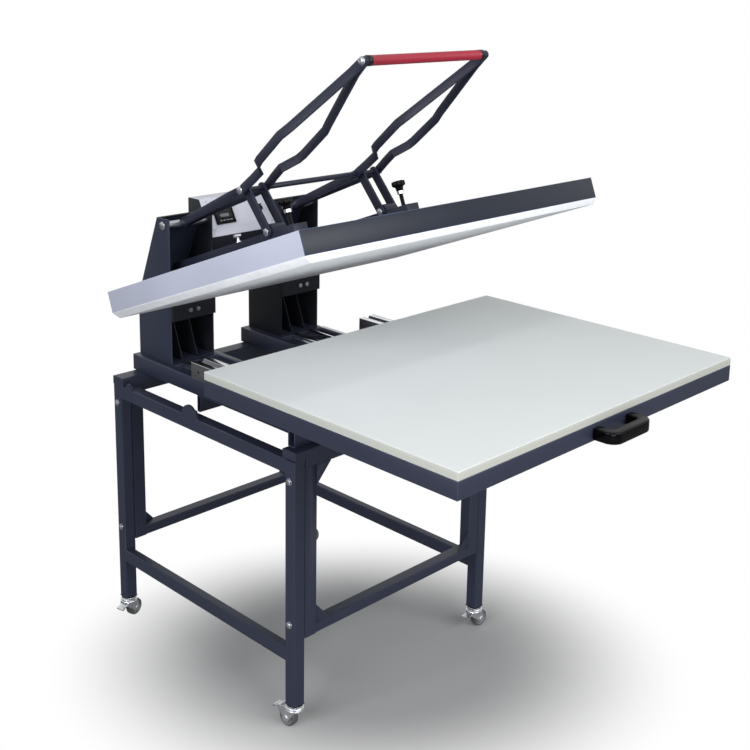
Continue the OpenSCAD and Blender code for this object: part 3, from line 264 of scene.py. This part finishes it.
# rim: how much lighter the eased edges are painted, as a highlight
zinc = metal("zinc_plate", (0.42, 0.43, 0.46), 0.24, rim=2.0)
bright_zinc = metal("bright_zinc_plate", (0.64, 0.65, 0.68), 0.24, rim=1.35)
ground_steel = metal("ground_steel", (0.74, 0.76, 0.82), 0.14, "x", 0.08)
extrusion = metal("aluminium_extrusion", (0.17, 0.175, 0.185), 0.34, "y", 0.14, rim=3.4)
heater_face = metal("milled_platen", (0.80, 0.82, 0.85), 0.38, "x", 0.12, bareness=0.15)
print("metals", 5)

# %% [markdown]
# The remaining finishes are moulded plastic, gloss or grained, the polyurethane tyre, the red foam of the
# grip, the mineral wool inside the head and the silicone sponge of the pad. The sponge is pale green-grey
# on top. Its sides, where the cut edge shows, are slightly yellow and also darker, which is painted shade.
# %% Plastics, foam and sponge
def plastic(name, colour, roughness, grain=0.0, scale=1200, **plain):
    moulded = Finish(name, colour, roughness, **plain)
    cloud, fine = moulded.noise(18, 3), moulded.noise(scale, 2)
    return moulded.wear(Base_Color=moulded.blend(cloud, moulded.tint(0.85), moulded.tint(1.2)),
                        Roughness=roughness - 0.04 + cloud * 0.10,
                        Normal=moulded.bump(fine, 0.00004 + grain, 0.3 + min(0.5, grain * 5000)))


gloss_black = plastic("gloss_black_plastic", (0.0012, 0.0012, 0.0018), 0.08, Specular_IOR_Level=0.10)
grain_black = plastic("grained_black_plastic", (0.005, 0.005, 0.007), 0.34, 0.00004, 900, Specular_IOR_Level=0.3)
cap_black = plastic("end_cap_plastic", (0.006, 0.007, 0.011), 0.42, 0.00004, 900, Specular_IOR_Level=0.3)
lens_black = plastic("display_lens", (0.002, 0.003, 0.005), 0.08, Specular_IOR_Level=0.3)
digit_grey = plastic("display_segments", (0.42, 0.46, 0.47), 0.4)
key_grey = plastic("soft_keys", (0.16, 0.17, 0.19), 0.5)
hub_grey = plastic("wheel_hub", (0.13, 0.135, 0.14), 0.42, 0.00003, 700)
nylon = plastic("natural_nylon", (0.74, 0.72, 0.66), 0.45)
tyre = plastic("grey_tyre", (0.055, 0.060, 0.060), 0.45, 0.00003, 700)
red_foam = plastic("red_foam_grip", (0.27, 0.007, 0.024), 0.50, 0.00006, 1500)
wool = plastic("mineral_wool", (0.62, 0.56, 0.42), 0.9, 0.0004, 240)
print("plastics", 11)


def sponge():
    soft = Finish("silicone_sponge", (0.610, 0.636, 0.632), 0.62)
    cloud, fine = soft.noise(4, 3), soft.noise(900, 3)
    geometry = soft.node("NewGeometry", out="Normal")
    upright = soft.node("SeparateXYZ", None, {0: geometry}, out="Z")
    side_shade_and_cut_tint = 1 - soft.node("Math", dict(operation="ABSOLUTE"), {0: upright})
    body = soft.blend(cloud, soft.tint(0.97), soft.tint(1.03))
    # the sides get a darker, slightly yellow colour: the yellow of the cut, and painted shade
    body = soft.blend(side_shade_and_cut_tint, body, (0.40, 0.41, 0.37, 1))
    return soft.wear(Base_Color=body, Roughness=0.55 + cloud * 0.1, Normal=soft.bump(fine, 0.00006, 0.5))


pad_sponge = sponge()
print("sponge ready")

# %% [markdown]
# Finished meshes all leave the workshop the same way: smooth shading with sharp creases, one finish and a place
# on the body that carries them; the nodes that they stand for, if any, are hidden.
# %% Finish a mesh
made_pieces = {}


def settle(shape, name, body, finish, stands_for=(), crease=32):
    mesh = bpy.data.meshes.new(name)
    shape.to_mesh(mesh)
    shape.free()
    mesh.shade_smooth()
    mesh.set_sharp_from_angle(angle=math.radians(crease))
    piece = bpy.data.objects.new(name, mesh)
    bpy.context.scene.collection.objects.link(piece)
    mesh.materials.append(finish.material)
    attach(piece, body)
    if stands_for:
        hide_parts(*stands_for)
    made_pieces[name] = piece
    return piece


print("bench ready")

# %% [markdown]
# Real edges are never knife sharp: sheet is folded round a radius, tube is drawn, bar is deburred. A copy of
# the measured node is merged, its flat faces are joined, and its edges are beveled. The faces that the
# bevel adds carry the value that the finishes read as the edge mask. A node with openings in its flat faces
# keeps its triangles (flatten=False), because a joined face can't have a hole.
# %% Ease the edges of a measured piece
CORNER_ANGLE, FLAT_ANGLE, SAME_PLACE = 28, 0.5, 0.00001


def eased(name, width, finish, segments=2, least=0.004, flatten=True):
    shape = bmesh.new()
    shape.from_mesh(nodes[name].data)
    bmesh.ops.remove_doubles(shape, verts=shape.verts, dist=SAME_PLACE)
    if flatten:
        bmesh.ops.dissolve_limit(shape, angle_limit=math.radians(FLAT_ANGLE), verts=shape.verts, edges=shape.edges)
    mask = shape.faces.layers.float.new("eased")
    if width:
        sharp = [edge for edge in shape.edges if len(edge.link_faces) == 2 and edge.calc_length() > least
                 and math.degrees(edge.calc_face_angle(0)) > CORNER_ANGLE]
        rounded = bmesh.ops.bevel(shape, geom=sharp, offset=width, offset_type="OFFSET", affect="EDGES",
                                  segments=segments, profile=0.5, material=-1, clamp_overlap=True)
        for face in rounded["faces"]:
            face[mask] = 1.0
    return settle(shape, name + "_eased", nodes[name]["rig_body"], finish, (name,))


def repaint(name, finish, chosen):
    """Gives part of a piece another finish; chosen(middle, normal) picks the faces."""
    mesh = made_pieces[name].data
    mesh.materials.append(finish.material)
    picked = [face for face in mesh.polygons if chosen(face.center, face.normal)]
    for face in picked:
        face.material_index = len(mesh.materials) - 1
    print(name, finish.material.name, len(picked))


print("easing ready")

# %% [markdown]
# Round parts come off a lathe, and bmesh has the same idea: a line of points, each a radius and a height, is
# spun about the Z axis. A line that doesn't touch the axis is closed first, which gives a ring. The
# result is then stood up along the axis that it has on the press.
# %% Turned shapes
FLUTES_FROM, FLUTES_RISE, JOINED = 0.6, 5, 0.000002


def turned(profile, middle, axis, steps, flutes=0, depth=0.0):
    shape = bmesh.new()
    line = [shape.verts.new((radius, 0, height)) for radius, height in profile]
    wires = [shape.edges.new(pair) for pair in zip(line, line[1:])]
    if profile[0][0] > 0:
        wires.append(shape.edges.new((line[-1], line[0])))
    bmesh.ops.spin(shape, geom=line + wires, axis=(0, 0, 1), angle=math.tau, steps=steps, use_merge=True)
    bmesh.ops.remove_doubles(shape, verts=shape.verts, dist=JOINED)
    bmesh.ops.recalc_face_normals(shape, faces=shape.faces)
    widest = max(radius for radius, height in profile)
    # flutes bite into the outer part of the profile only
    for vert in shape.verts if flutes else ():
        wave = 0.5 - 0.5 * math.cos(flutes * math.atan2(vert.co.y, vert.co.x))
        reach = min(1.0, max(0.0, vert.co.xy.length / widest - FLUTES_FROM) * FLUTES_RISE)
        vert.co.xy *= 1 - depth * wave * reach
    stand = Vector(axis).to_track_quat("Z", "X").to_matrix().to_4x4()
    bmesh.ops.transform(shape, matrix=Matrix.Translation(middle) @ stand, verts=shape.verts)
    return shape


def welded(*shapes):
    """Joins several shapes into the first one."""
    for other in shapes[1:]:
        passing = bpy.data.meshes.new("passing")
        other.to_mesh(passing)
        other.free()
        shapes[0].from_mesh(passing)
        bpy.data.meshes.remove(passing)
    return shapes[0]


print("lathe ready")

# %% [markdown]
# Small flat parts, such as keys and bezels, start from a cube that is scaled to size and beveled. It is made
# round the origin with Z outwards, so that the front face can be inset before the block is put in place.
# %% Beveled blocks
def block(width, height, depth, place, round_off, segments=2, rim=0.0, sunk=0.0):
    shape = bmesh.new()
    bmesh.ops.create_cube(shape, size=1)
    bmesh.ops.scale(shape, vec=(width, height, depth), verts=shape.verts)
    bmesh.ops.bevel(shape, geom=shape.edges[:], offset=round_off, offset_type="OFFSET", affect="EDGES",
                    segments=segments, profile=0.5, material=-1, clamp_overlap=True)
    if rim:
        front = max(shape.faces, key=lambda face: face.calc_center_median().z * face.calc_area())
        bmesh.ops.inset_region(shape, faces=[front], thickness=rim, depth=0)
        bmesh.ops.inset_region(shape, faces=[front], thickness=sunk / 2, depth=-sunk)
    bmesh.ops.transform(shape, matrix=place, verts=shape.verts)
    return shape


print("blocks ready")

# %% [markdown]
# The stand is two welded side frames and two end frames bolted between them. The drawn corners of the tube
# are in the measured model, so here the frames only need smooth shading. Bolts and plugs are eased.
# %% Stand
PLUG_DISC_TOP = 0.0689
for name in ("side_frame_left", "side_frame_right", "front_frame", "rear_frame"):
    eased(name, 0, finish=frame_coat)
eased("frame_bolts", 0.0006, finish=zinc, least=0.002)
eased("leg_plugs", 0.0008, finish=cap_black, least=0.003)
repaint("leg_plugs_eased", zinc, lambda middle, normal: middle.z < PLUG_DISC_TOP)
print("stand", len(made_pieces))

# %% [markdown]
# The frames are bolted together through the side rails. Each zinc head sits on a plain washer.
# %% Frame washers
LEG_X, FRONT_Y, REAR_Y, SIDE_FACE = 0.354, -0.027, 0.723, 0.3722
BOLT_HEIGHTS = (0.297, 0.683)
WASHER = [(0.0042, 0), (0.0096, 0), (0.0098, 0.0004), (0.0096, 0.0011), (0.0042, 0.0012)]
washers = [turned(WASHER, (outward * SIDE_FACE, back, high), (outward, 0, 0), 28)
           for outward in (-1, 1) for back in (FRONT_Y, REAR_Y) for high in BOLT_HEIGHTS]
settle(welded(*washers), "frame_washers", "stand", zinc)
print("washers", len(washers))

# %% [markdown]
# Each caster has a pressed steel fork with a ball race on top, a grey tyre on a lighter hub and a brake
# pedal. The race is two bright rims with a dark gap between them. The wheel is turned from its own
# section, and its hub keeps another finish than its tyre.
# %% Casters
WHEEL_HALF = [(0.0043, 0.0110), (0.0078, 0.0110), (0.0082, 0.0106), (0.0086, 0.0090), (0.0150, 0.0086),
              (0.0182, 0.0089), (0.0196, 0.0102), (0.0206, 0.0106), (0.0226, 0.0104), (0.0241, 0.0090),
              (0.0248, 0.0066), (0.0250, 0.0030)]
wheel_section = [(r, -h) for r, h in WHEEL_HALF] + [(r, h) for r, h in reversed(WHEEL_HALF)]
RACE = [(0.0180, 0.0560), (0.0232, 0.0561), (0.0241, 0.0566), (0.0243, 0.0574), (0.0238, 0.0583), (0.0222, 0.0589),
        (0.0210, 0.0592), (0.0208, 0.0604), (0.0202, 0.0614), (0.0180, 0.0616)]
DISH = [(0.0180, 0.0621), (0.0226, 0.0622), (0.0233, 0.0628), (0.0234, 0.0637), (0.0226, 0.0647), (0.0200, 0.0660),
        (0.0186, 0.0680), (0.0180, 0.0688)]
TRAIL, AXLE_HEIGHT, HUB_RADIUS, UPWARD, ROUND_STEPS = 0.02, 0.025, 0.0192, (0, 0, 1), 48
CORNERS = {"fl": (-LEG_X, FRONT_Y, 95), "fr": (LEG_X, FRONT_Y, 357),
           "rl": (-LEG_X, REAR_Y, 15), "rr": (LEG_X, REAR_Y, 318)}
for corner, (across, back, heading) in CORNERS.items():
    ahead_x, ahead_y = math.cos(math.radians(heading)), math.sin(math.radians(heading))
    foot, wheel = (across, back, 0), "turned_wheel_" + corner
    for name in ("caster_fork_" + corner, "brake_pedal_" + corner):
        eased(name, 0.0006, finish=bright_zinc, least=0.002)
    race = turned(RACE, foot, UPWARD, ROUND_STEPS)
    settle(race, "caster_race_" + corner, "fork_" + corner, bright_zinc)
    dish = turned(DISH, foot, UPWARD, ROUND_STEPS)
    settle(dish, "caster_dish_" + corner, "stand", bright_zinc)
    hub = Vector((across + TRAIL * ahead_x, back + TRAIL * ahead_y, AXLE_HEIGHT))
    axle = Vector((-ahead_y, ahead_x, 0))
    settle(turned(wheel_section, hub, axle, ROUND_STEPS), wheel, "wheel_" + corner, tyre,
           ("caster_wheel_" + corner,), 40)
    repaint(wheel, hub_grey, lambda middle, normal: (middle - hub).cross(axle).length < HUB_RADIUS)
print("casters", len(CORNERS))

# %% [markdown]
# The chassis is folded from sheet. A fold has a small outer radius, which is what catches the light along the
# beams and pillars. The inside of the pillars is darker, with slanted ribs: the pillars take the dark coat on
# all faces but their outer walls and backs, and this darker coat is painted shade.
# %% Chassis
PILLAR_WALL_X, PILLAR_BACK_Y = 0.2745, 0.66
for name, width, coat in (("beam_left", 0.0014, frame_coat), ("beam_right", 0.0014, frame_coat),
                          ("front_cross_member", 0.002, frame_coat), ("mid_cross_member", 0.001, frame_coat),
                          ("pillar_left", 0.0012, frame_coat), ("pillar_right", 0.0012, frame_coat),
                          ("pillar_ribs", 0.0006, dark_coat_and_shade), ("pillar_braces", 0.0012, dark_coat_and_shade)):
    eased(name, width, coat)
# the darker coat on the pillars, away from their outer walls and backs, is painted shade
for name in ("pillar_left_eased", "pillar_right_eased"):
    repaint(name, dark_coat_and_shade, lambda middle, normal: abs(middle.x) < PILLAR_WALL_X and middle.y < PILLAR_BACK_Y)
eased("brace_bolts", 0.0006, finish=zinc, least=0.002)
eased("lever_pins", 0.0008, finish=zinc, least=0.003)
eased("head_pins", 0.0008, finish=zinc, least=0.003)
eased("guide_rails", 0.0008, finish=ground_steel, least=0.001)
eased("ledge_strip", 0.0006, finish=zinc)
eased("runner_pads", 0.001, finish=nylon)
print("chassis", len(made_pieces))

# %% [markdown]
# The control box is light sheet metal on a dark skirt, with dark end caps. Its front slopes, so a set of axes
# on the slope makes the controller and the switch easy to place: X across, Y up the slope and Z out of it.
# %% Control box
SKIRT_TOP, SIDEWAYS = 1.153, 0.5
eased("control_box", 0.0012, finish=box_white, flatten=False)
repaint("control_box_eased", dark_coat_and_shade,
        lambda middle, normal: middle.z < SKIRT_TOP and normal.y < SIDEWAYS and abs(normal.x) < SIDEWAYS)
eased("control_caps", 0.001, finish=cap_black)
eased("control_panel", 0.0005, finish=box_white)
eased("power_inlet", 0.0008, finish=grain_black)
FACE_RISE, FACE_RUN, FACE_MIDDLE = 102, 59, Vector((0, 0.6199, 1.21475))
SLOPE = math.atan2(FACE_RISE, FACE_RUN)
slope_up = Vector((0, math.cos(SLOPE), math.sin(SLOPE)))
slope_out = Vector((0, -math.sin(SLOPE), math.cos(SLOPE)))
slope_axes = Matrix((Vector((1, 0, 0)), slope_up, slope_out)).transposed().to_4x4()


def on_slope(across, along, above):
    """A place measured from the middle of the controller's face."""
    spot = FACE_MIDDLE + Vector((across, 0, 0)) + along * slope_up + above * slope_out
    return Matrix.Translation(spot) @ slope_axes


print("slope in degrees", round(math.degrees(SLOPE), 1))

# %% [markdown]
# The temperature controller is a square panel instrument: a glossy bezel, a dark lens set back into it, two
# rows of seven-segment digits on the lens and a row of soft keys. The digits are plain eights, as an unlit
# display shows them, and each is seven slim bars.
# %% Temperature controller
CONTROLLER_X, BEZEL, BEZEL_DEPTH = -0.060, 0.068, 0.0064
BAR, BAR_DEPTH, BAR_ROUND, BAR_ABOVE = 0.0011, 0.0003, 0.0001, -0.0004
DIGIT_PITCH, DIGITS = 1.55, 4
DIGIT_ROWS = ((0.0150, 0.0120, 0.0070, -0.0165), (-0.0085, 0.0085, 0.0050, -0.0125))
KEY_PITCH, KEY_ROW = 0.0125, -0.0236
bezel = block(BEZEL, BEZEL, BEZEL_DEPTH, on_slope(CONTROLLER_X, 0, -BEZEL_DEPTH / 2), 0.0014, 3, 0.0045, 0.0012)
settle(bezel, "controller_bezel", "stand", gloss_black, ("temperature_controller",))
lens = block(0.054, 0.044, 0.0008, on_slope(CONTROLLER_X, 0.005, -0.0009), 0.0003, 1)
settle(lens, "controller_lens", "stand", lens_black)


def bar(width, height, across, along):
    return block(width, height, BAR_DEPTH, on_slope(across, along, BAR_ABOVE), BAR_ROUND, 1)


bars = []
for row_up, tall, wide, first in DIGIT_ROWS:
    for digit in range(DIGITS):
        left = CONTROLLER_X + first + digit * wide * DIGIT_PITCH
        bars += [bar(wide * 0.72, BAR, left, row_up + up) for up in (-tall / 2, 0, tall / 2)]
        bars += [bar(BAR, tall * 0.38, left + aside, row_up + up)
                 for up in (-tall / 4, tall / 4) for aside in (-wide / 2, wide / 2)]
settle(welded(*bars), "controller_digits", "stand", digit_grey)
keys = [block(0.0085, 0.0042, 0.0014, on_slope(CONTROLLER_X + k * KEY_PITCH, KEY_ROW, -0.0009), 0.0005)
        for k in (-1.5, -0.5, 0.5, 1.5)]
settle(welded(*keys), "controller_keys", "stand", key_grey)
print("digit bars", len(bars), "keys", len(keys))

# %% [markdown]
# The rotary switch has a turned skirt and a thumb grip across it, with a pale line that points at its
# setting. All three turn together, so they ride on the switch's own body.
# %% Rotary switch
SWITCH_X, SWITCH_UP, PANEL_FACE = 0.073, -0.0020, -0.0062
SKIRT = [(0, 0), (0.0110, 0), (0.0110, 0.0022), (0.0104, 0.0030), (0.0096, 0.0062), (0.0088, 0.0076), (0, 0.0077)]
SCREW = [(0, 0), (0.0026, 0), (0.0026, 0.0005), (0.0018, 0.0012), (0.0010, 0.0013), (0.0009, 0.0008), (0, 0.0008)]
GRIP_ABOVE, MARK_UP, MARK_ABOVE = 0.0108, 0.0045, 0.0154
SCREW_X, SCREW_ROWS, SCREW_SUNK = 0.106, (-0.047, 0.041), 0.0004
skirt = turned(SKIRT, on_slope(SWITCH_X, SWITCH_UP, PANEL_FACE).translation, slope_out, 40)
grip = block(0.0056, 0.0192, 0.0090, on_slope(SWITCH_X, SWITCH_UP, PANEL_FACE + GRIP_ABOVE), 0.0012, 3)
settle(welded(skirt, grip), "switch_knob", "switch", gloss_black, ("rotary_switch",))
mark = block(0.0010, 0.0080, 0.0004, on_slope(SWITCH_X, SWITCH_UP + MARK_UP, PANEL_FACE + MARK_ABOVE), 0.0001, 1)
settle(mark, "switch_mark", "switch", nylon)
plate_screws = [turned(SCREW, on_slope(across, along, PANEL_FACE - SCREW_SUNK).translation, slope_out, 20)
                for across in (-SCREW_X, SCREW_X) for along in SCREW_ROWS]
settle(welded(*plate_screws), "panel_screws", "stand", zinc)
print("panel screws", len(plate_screws))

# %% [markdown]
# The head is the heated plate with its wool blanket, a silver cover with a dark front, and two arms.
# %% Head
eased("platen_cover", 0.0014, finish=cover_silver)
eased("front_cover", 0.0008, finish=cover_navy)
eased("insulation", 0.003, finish=wool)
eased("heat_plate", 0.0012, finish=heater_face, flatten=False)
for side in ("left", "right"):
    eased("arm_" + side, 0.0016, finish=arm_coat)
    eased("lever_bars_" + side, 0.0014, finish=arm_coat)
eased("link_pins", 0.0008, finish=zinc, least=0.001)
eased("tee_bolts", 0.0008, finish=bright_zinc, least=0.001)
print("head", len(made_pieces))

# %% [markdown]
# A pressure spindle stands square on each arm: a plain sleeve, a stretch of thread, a bright hexagon collar and a
# fluted black knob. The thread is a stack of fine ridges, which at this size can't be told from a helix.
# %% Pressure spindles
LEAN = math.radians(20.9)
spindle_up = Vector((0, math.sin(LEAN), math.cos(LEAN)))
KNOB = [(0, 0.0930), (0.0096, 0.0930), (0.0100, 0.0940), (0.0108, 0.0990), (0.0118, 0.1036), (0.0150, 0.1052),
        (0.0182, 0.1068), (0.0190, 0.1084), (0.0190, 0.1168), (0.0184, 0.1188), (0.0168, 0.1201), (0.0120, 0.1208),
        (0.0092, 0.1204), (0.0084, 0.1194), (0, 0.1194)]
COLLAR = [(0, 0.0835), (0.0096, 0.0835), (0.0103, 0.0842), (0.0103, 0.0922), (0.0096, 0.0929), (0, 0.0929)]
SLEEVE = [(0, 0.0004), (0.0066, 0.0004), (0.0070, 0.0010), (0.0070, 0.0450), (0.0064, 0.0458), (0, 0.0460)]
ARM_X, FOOT_Y, FOOT_Z = 0.206, 0.1399, 1.2219
LOBES, LOBE_DEPTH, COLLAR_SIDES = 8, 0.19, 6
THREAD_FOOT, THREAD_PITCH, THREAD_RIDGES, THREAD_TOP = 0.046, 0.00085, 47, 0.0856
ridges = [(0.0060 - 0.0006 * (k % 2), THREAD_FOOT + THREAD_PITCH * k) for k in range(THREAD_RIDGES)]
thread = [(0, THREAD_FOOT)] + ridges + [(0, THREAD_TOP)]
for side, across in (("left", -ARM_X), ("right", ARM_X)):
    foot, body = Vector((across, FOOT_Y, FOOT_Z)), "knob_" + side
    knob = turned(KNOB, foot, spindle_up, 96, LOBES, LOBE_DEPTH)
    settle(knob, "knob_head_" + side, body, gloss_black, ("pressure_knob_" + side,))
    settle(turned(COLLAR, foot, spindle_up, COLLAR_SIDES), "knob_collar_" + side, body, bright_zinc)
    spindle = welded(turned(SLEEVE, foot, spindle_up, 28), turned(thread, foot, spindle_up, 24))
    settle(spindle, "knob_spindle_" + side, body, grain_black)
print("spindles", 2)

# %% [markdown]
# Lever parts: the round axle, the grip rod, the red sleeve and the two pairs of link plates.
# %% Lever
AXLE_HEAD_X, GRIP_COLLAR_X = 0.2505, 0.1935
eased("lever_axle", 0.0008, finish=arm_coat, least=0.001)
repaint("lever_axle_eased", zinc, lambda middle, normal: abs(middle.x) > AXLE_HEAD_X)
eased("grip_sleeve", 0.0008, finish=red_foam, least=0.001)
repaint("grip_sleeve_eased", grain_black, lambda middle, normal: abs(middle.x) > GRIP_COLLAR_X)
eased("link_plates", 0.001, finish=arm_coat, least=0.001)
eased("link_bolts", 0.0006, finish=zinc, least=0.001)
GRIP_Y, GRIP_Z = -0.1028, 1.6974
ROD_END = [(0.0058, 0.2200), (0.0104, 0.2203), (0.0105, 0.2210), (0.0101, 0.2216), (0.0086, 0.2219),
           (0.0084, 0.2244), (0.0074, 0.2262), (0.0058, 0.2270), (0.0042, 0.2271), (0.0038, 0.2266),
           (0.0038, 0.2240), (0, 0.2240)]
rod_section = [(r, -h) for r, h in reversed(ROD_END)] + ROD_END
grip_rod = turned(rod_section, (0, GRIP_Y, GRIP_Z), (1, 0, 0), 40)
settle(grip_rod, "turned_grip_rod", "lever", zinc, ("grip_rod",))
print("lever", 6)

# %% [markdown]
# The drawer: a welded tray, two extruded runners, bearing blocks, a moulded handle and the sponge pad.
# %% Drawer
eased("drawer_tray", 0.001, finish=frame_coat, flatten=False)
eased("drawer_runners", 0.001, finish=extrusion)
UPRIGHT = 0.9
repaint("drawer_runners_eased", ground_steel, lambda middle, normal: normal.z > UPRIGHT)
eased("bearing_blocks", 0.001, finish=extrusion)
eased("drawer_handle", 0.004, segments=4, finish=gloss_black, least=0.0005)
pad = eased("pad", 0.0025, segments=4, finish=pad_sponge)
print("drawer", 5)

# %% [markdown]
# A floor with soft light. Inside an oval that lies square to the camera it shows its grey, which is a painted
# shadow under the press on top of the lamps' real shadow; outside the oval it fades to white, for the camera only.
# %% Floor
FLOOR_RADIUS, FLOOR_SHADE_GREY = 14, (0.33, 0.33, 0.33)
SHADE_MIDDLE, SHADE_SIZE, FADE_FROM, FADE_TO = (0.026, 0.086, 0), (0.765, 0.613, 1), 0.225, 0.605
floor = bmesh.new()
bmesh.ops.create_circle(floor, cap_ends=True, segments=96, radius=FLOOR_RADIUS)
floor_mesh = bpy.data.meshes.new("floor")
floor.to_mesh(floor_mesh)
floor.free()
floor_piece = bpy.data.objects.new("floor", floor_mesh)
bpy.context.scene.collection.objects.link(floor_piece)
floor_piece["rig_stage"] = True
ground = Finish("floor_with_painted_shade", FLOOR_SHADE_GREY, 0.9)
# the grey that the camera sees inside the oval is painted shade under the press
oval = {"Vector": ground.place, "Location": SHADE_MIDDLE, "Rotation": (0, 0, -YAW), "Scale": SHADE_SIZE}
spot = ground.node("Mapping", dict(vector_type="TEXTURE"), oval)
reach = ground.node("VectorMath", dict(operation="LENGTH"), {0: spot}, out="Value")
# a ramp ends at 1, so the reach is halved and runs to 2
away = ground.ramp(reach * 0.5, FADE_FROM, FADE_TO, "EASE")
glow = ground.node("Emission", None, {"Color": (1, 1, 1, 1), "Strength": 1.0})
seen = ground.node("LightPath", out="Is Camera Ray")
lit = Signal(ground, ground.shader.outputs[0])
mixed = ground.node("MixShader", None, {0: away * seen, 1: lit, 2: glow})
ground.tree.links.new(mixed.socket, ground.tree.nodes["Material Output"].inputs["Surface"])
floor_mesh.materials.append(ground.material)
print("floor faces", len(floor_mesh.polygons))

# %% [markdown]
# Large soft boxes at the left and in front give most of the light, with a weak one above and a low one for the
# rails. Lamps of this size give the broad gradients of the photograph without hard shadows. One narrow
# lamp adds the glints on glossy plastic, and a soft sky fills the rest. To the camera, in reflections and
# through glass the sky is plain white.
# %% Light
SKY_COLOUR, SKY_STRENGTH = (0.93, 0.96, 1.0, 1), 0.30
world = bpy.data.worlds.new("studio")
bpy.context.scene.world = world
world.use_nodes = True
sky, links = world.node_tree.nodes, world.node_tree.links
soft_sky = sky["Background"]
soft_sky.inputs["Color"].default_value = SKY_COLOUR
soft_sky.inputs["Strength"].default_value = SKY_STRENGTH
white_sky = sky.new("ShaderNodeBackground")
white_sky.inputs["Color"].default_value = (1, 1, 1, 1)
white_sky.inputs["Strength"].default_value = 1.0
path, switch = sky.new("ShaderNodeLightPath"), sky.new("ShaderNodeMixShader")
direct, either = sky.new("ShaderNodeMath"), sky.new("ShaderNodeMath")
direct.operation = either.operation = "MAXIMUM"
links.new(path.outputs["Is Camera Ray"], direct.inputs[0])
links.new(path.outputs["Is Glossy Ray"], direct.inputs[1])
links.new(direct.outputs[0], either.inputs[0])
links.new(path.outputs["Is Transmission Ray"], either.inputs[1])
links.new(either.outputs[0], switch.inputs[0])
links.new(soft_sky.outputs[0], switch.inputs[1])
links.new(white_sky.outputs[0], switch.inputs[2])
links.new(switch.outputs[0], sky["World Output"].inputs["Surface"])


def soft_box(name, place, aim, size, power, colour=(1, 1, 1)):
    lamp = bpy.data.lights.new(name, "AREA")
    lamp.shape, lamp.size, lamp.size_y = "RECTANGLE", *size
    lamp.energy, lamp.color = power, colour
    box = bpy.data.objects.new(name, lamp)
    bpy.context.scene.collection.objects.link(box)
    box.location = place
    box.rotation_euler = (Vector(aim) - Vector(place)).to_track_quat("-Z", "Y").to_euler()


# each lamp: name, place, aim, width and height, watts, and a tint for the left one
soft_box("overhead_box", (0.2, -1.0, 5.0), (0, -0.2, 0.9), (4.5, 4.0), 8)
soft_box("left_box", (-3.9, -0.5, 2.3), (0, 0, 0.9), (2.6, 2.0), 122, (0.97, 0.98, 1.0))
soft_box("front_box", (0.2, -4.0, 3.0), (0, -0.2, 0.9), (4.4, 2.2), 165)
soft_box("glint_box", (-0.3, -1.1, 5.0), (0, -0.9, 0.8), (0.6, 0.12), 16)
soft_box("low_box", (-2.2, -3.0, 0.55), (0, 0, 0.3), (2.0, 0.6), 34)
bpy.context.scene.view_settings.view_transform = "Standard"
print("lamps", 5)

seen_low, seen_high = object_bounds()
grown = [round((seen_high[i] - cad_high[i] - seen_low[i] + cad_low[i]) * 1000, 2) for i in range(3)]
print("pieces", len(made_pieces), "growth in mm", grown)
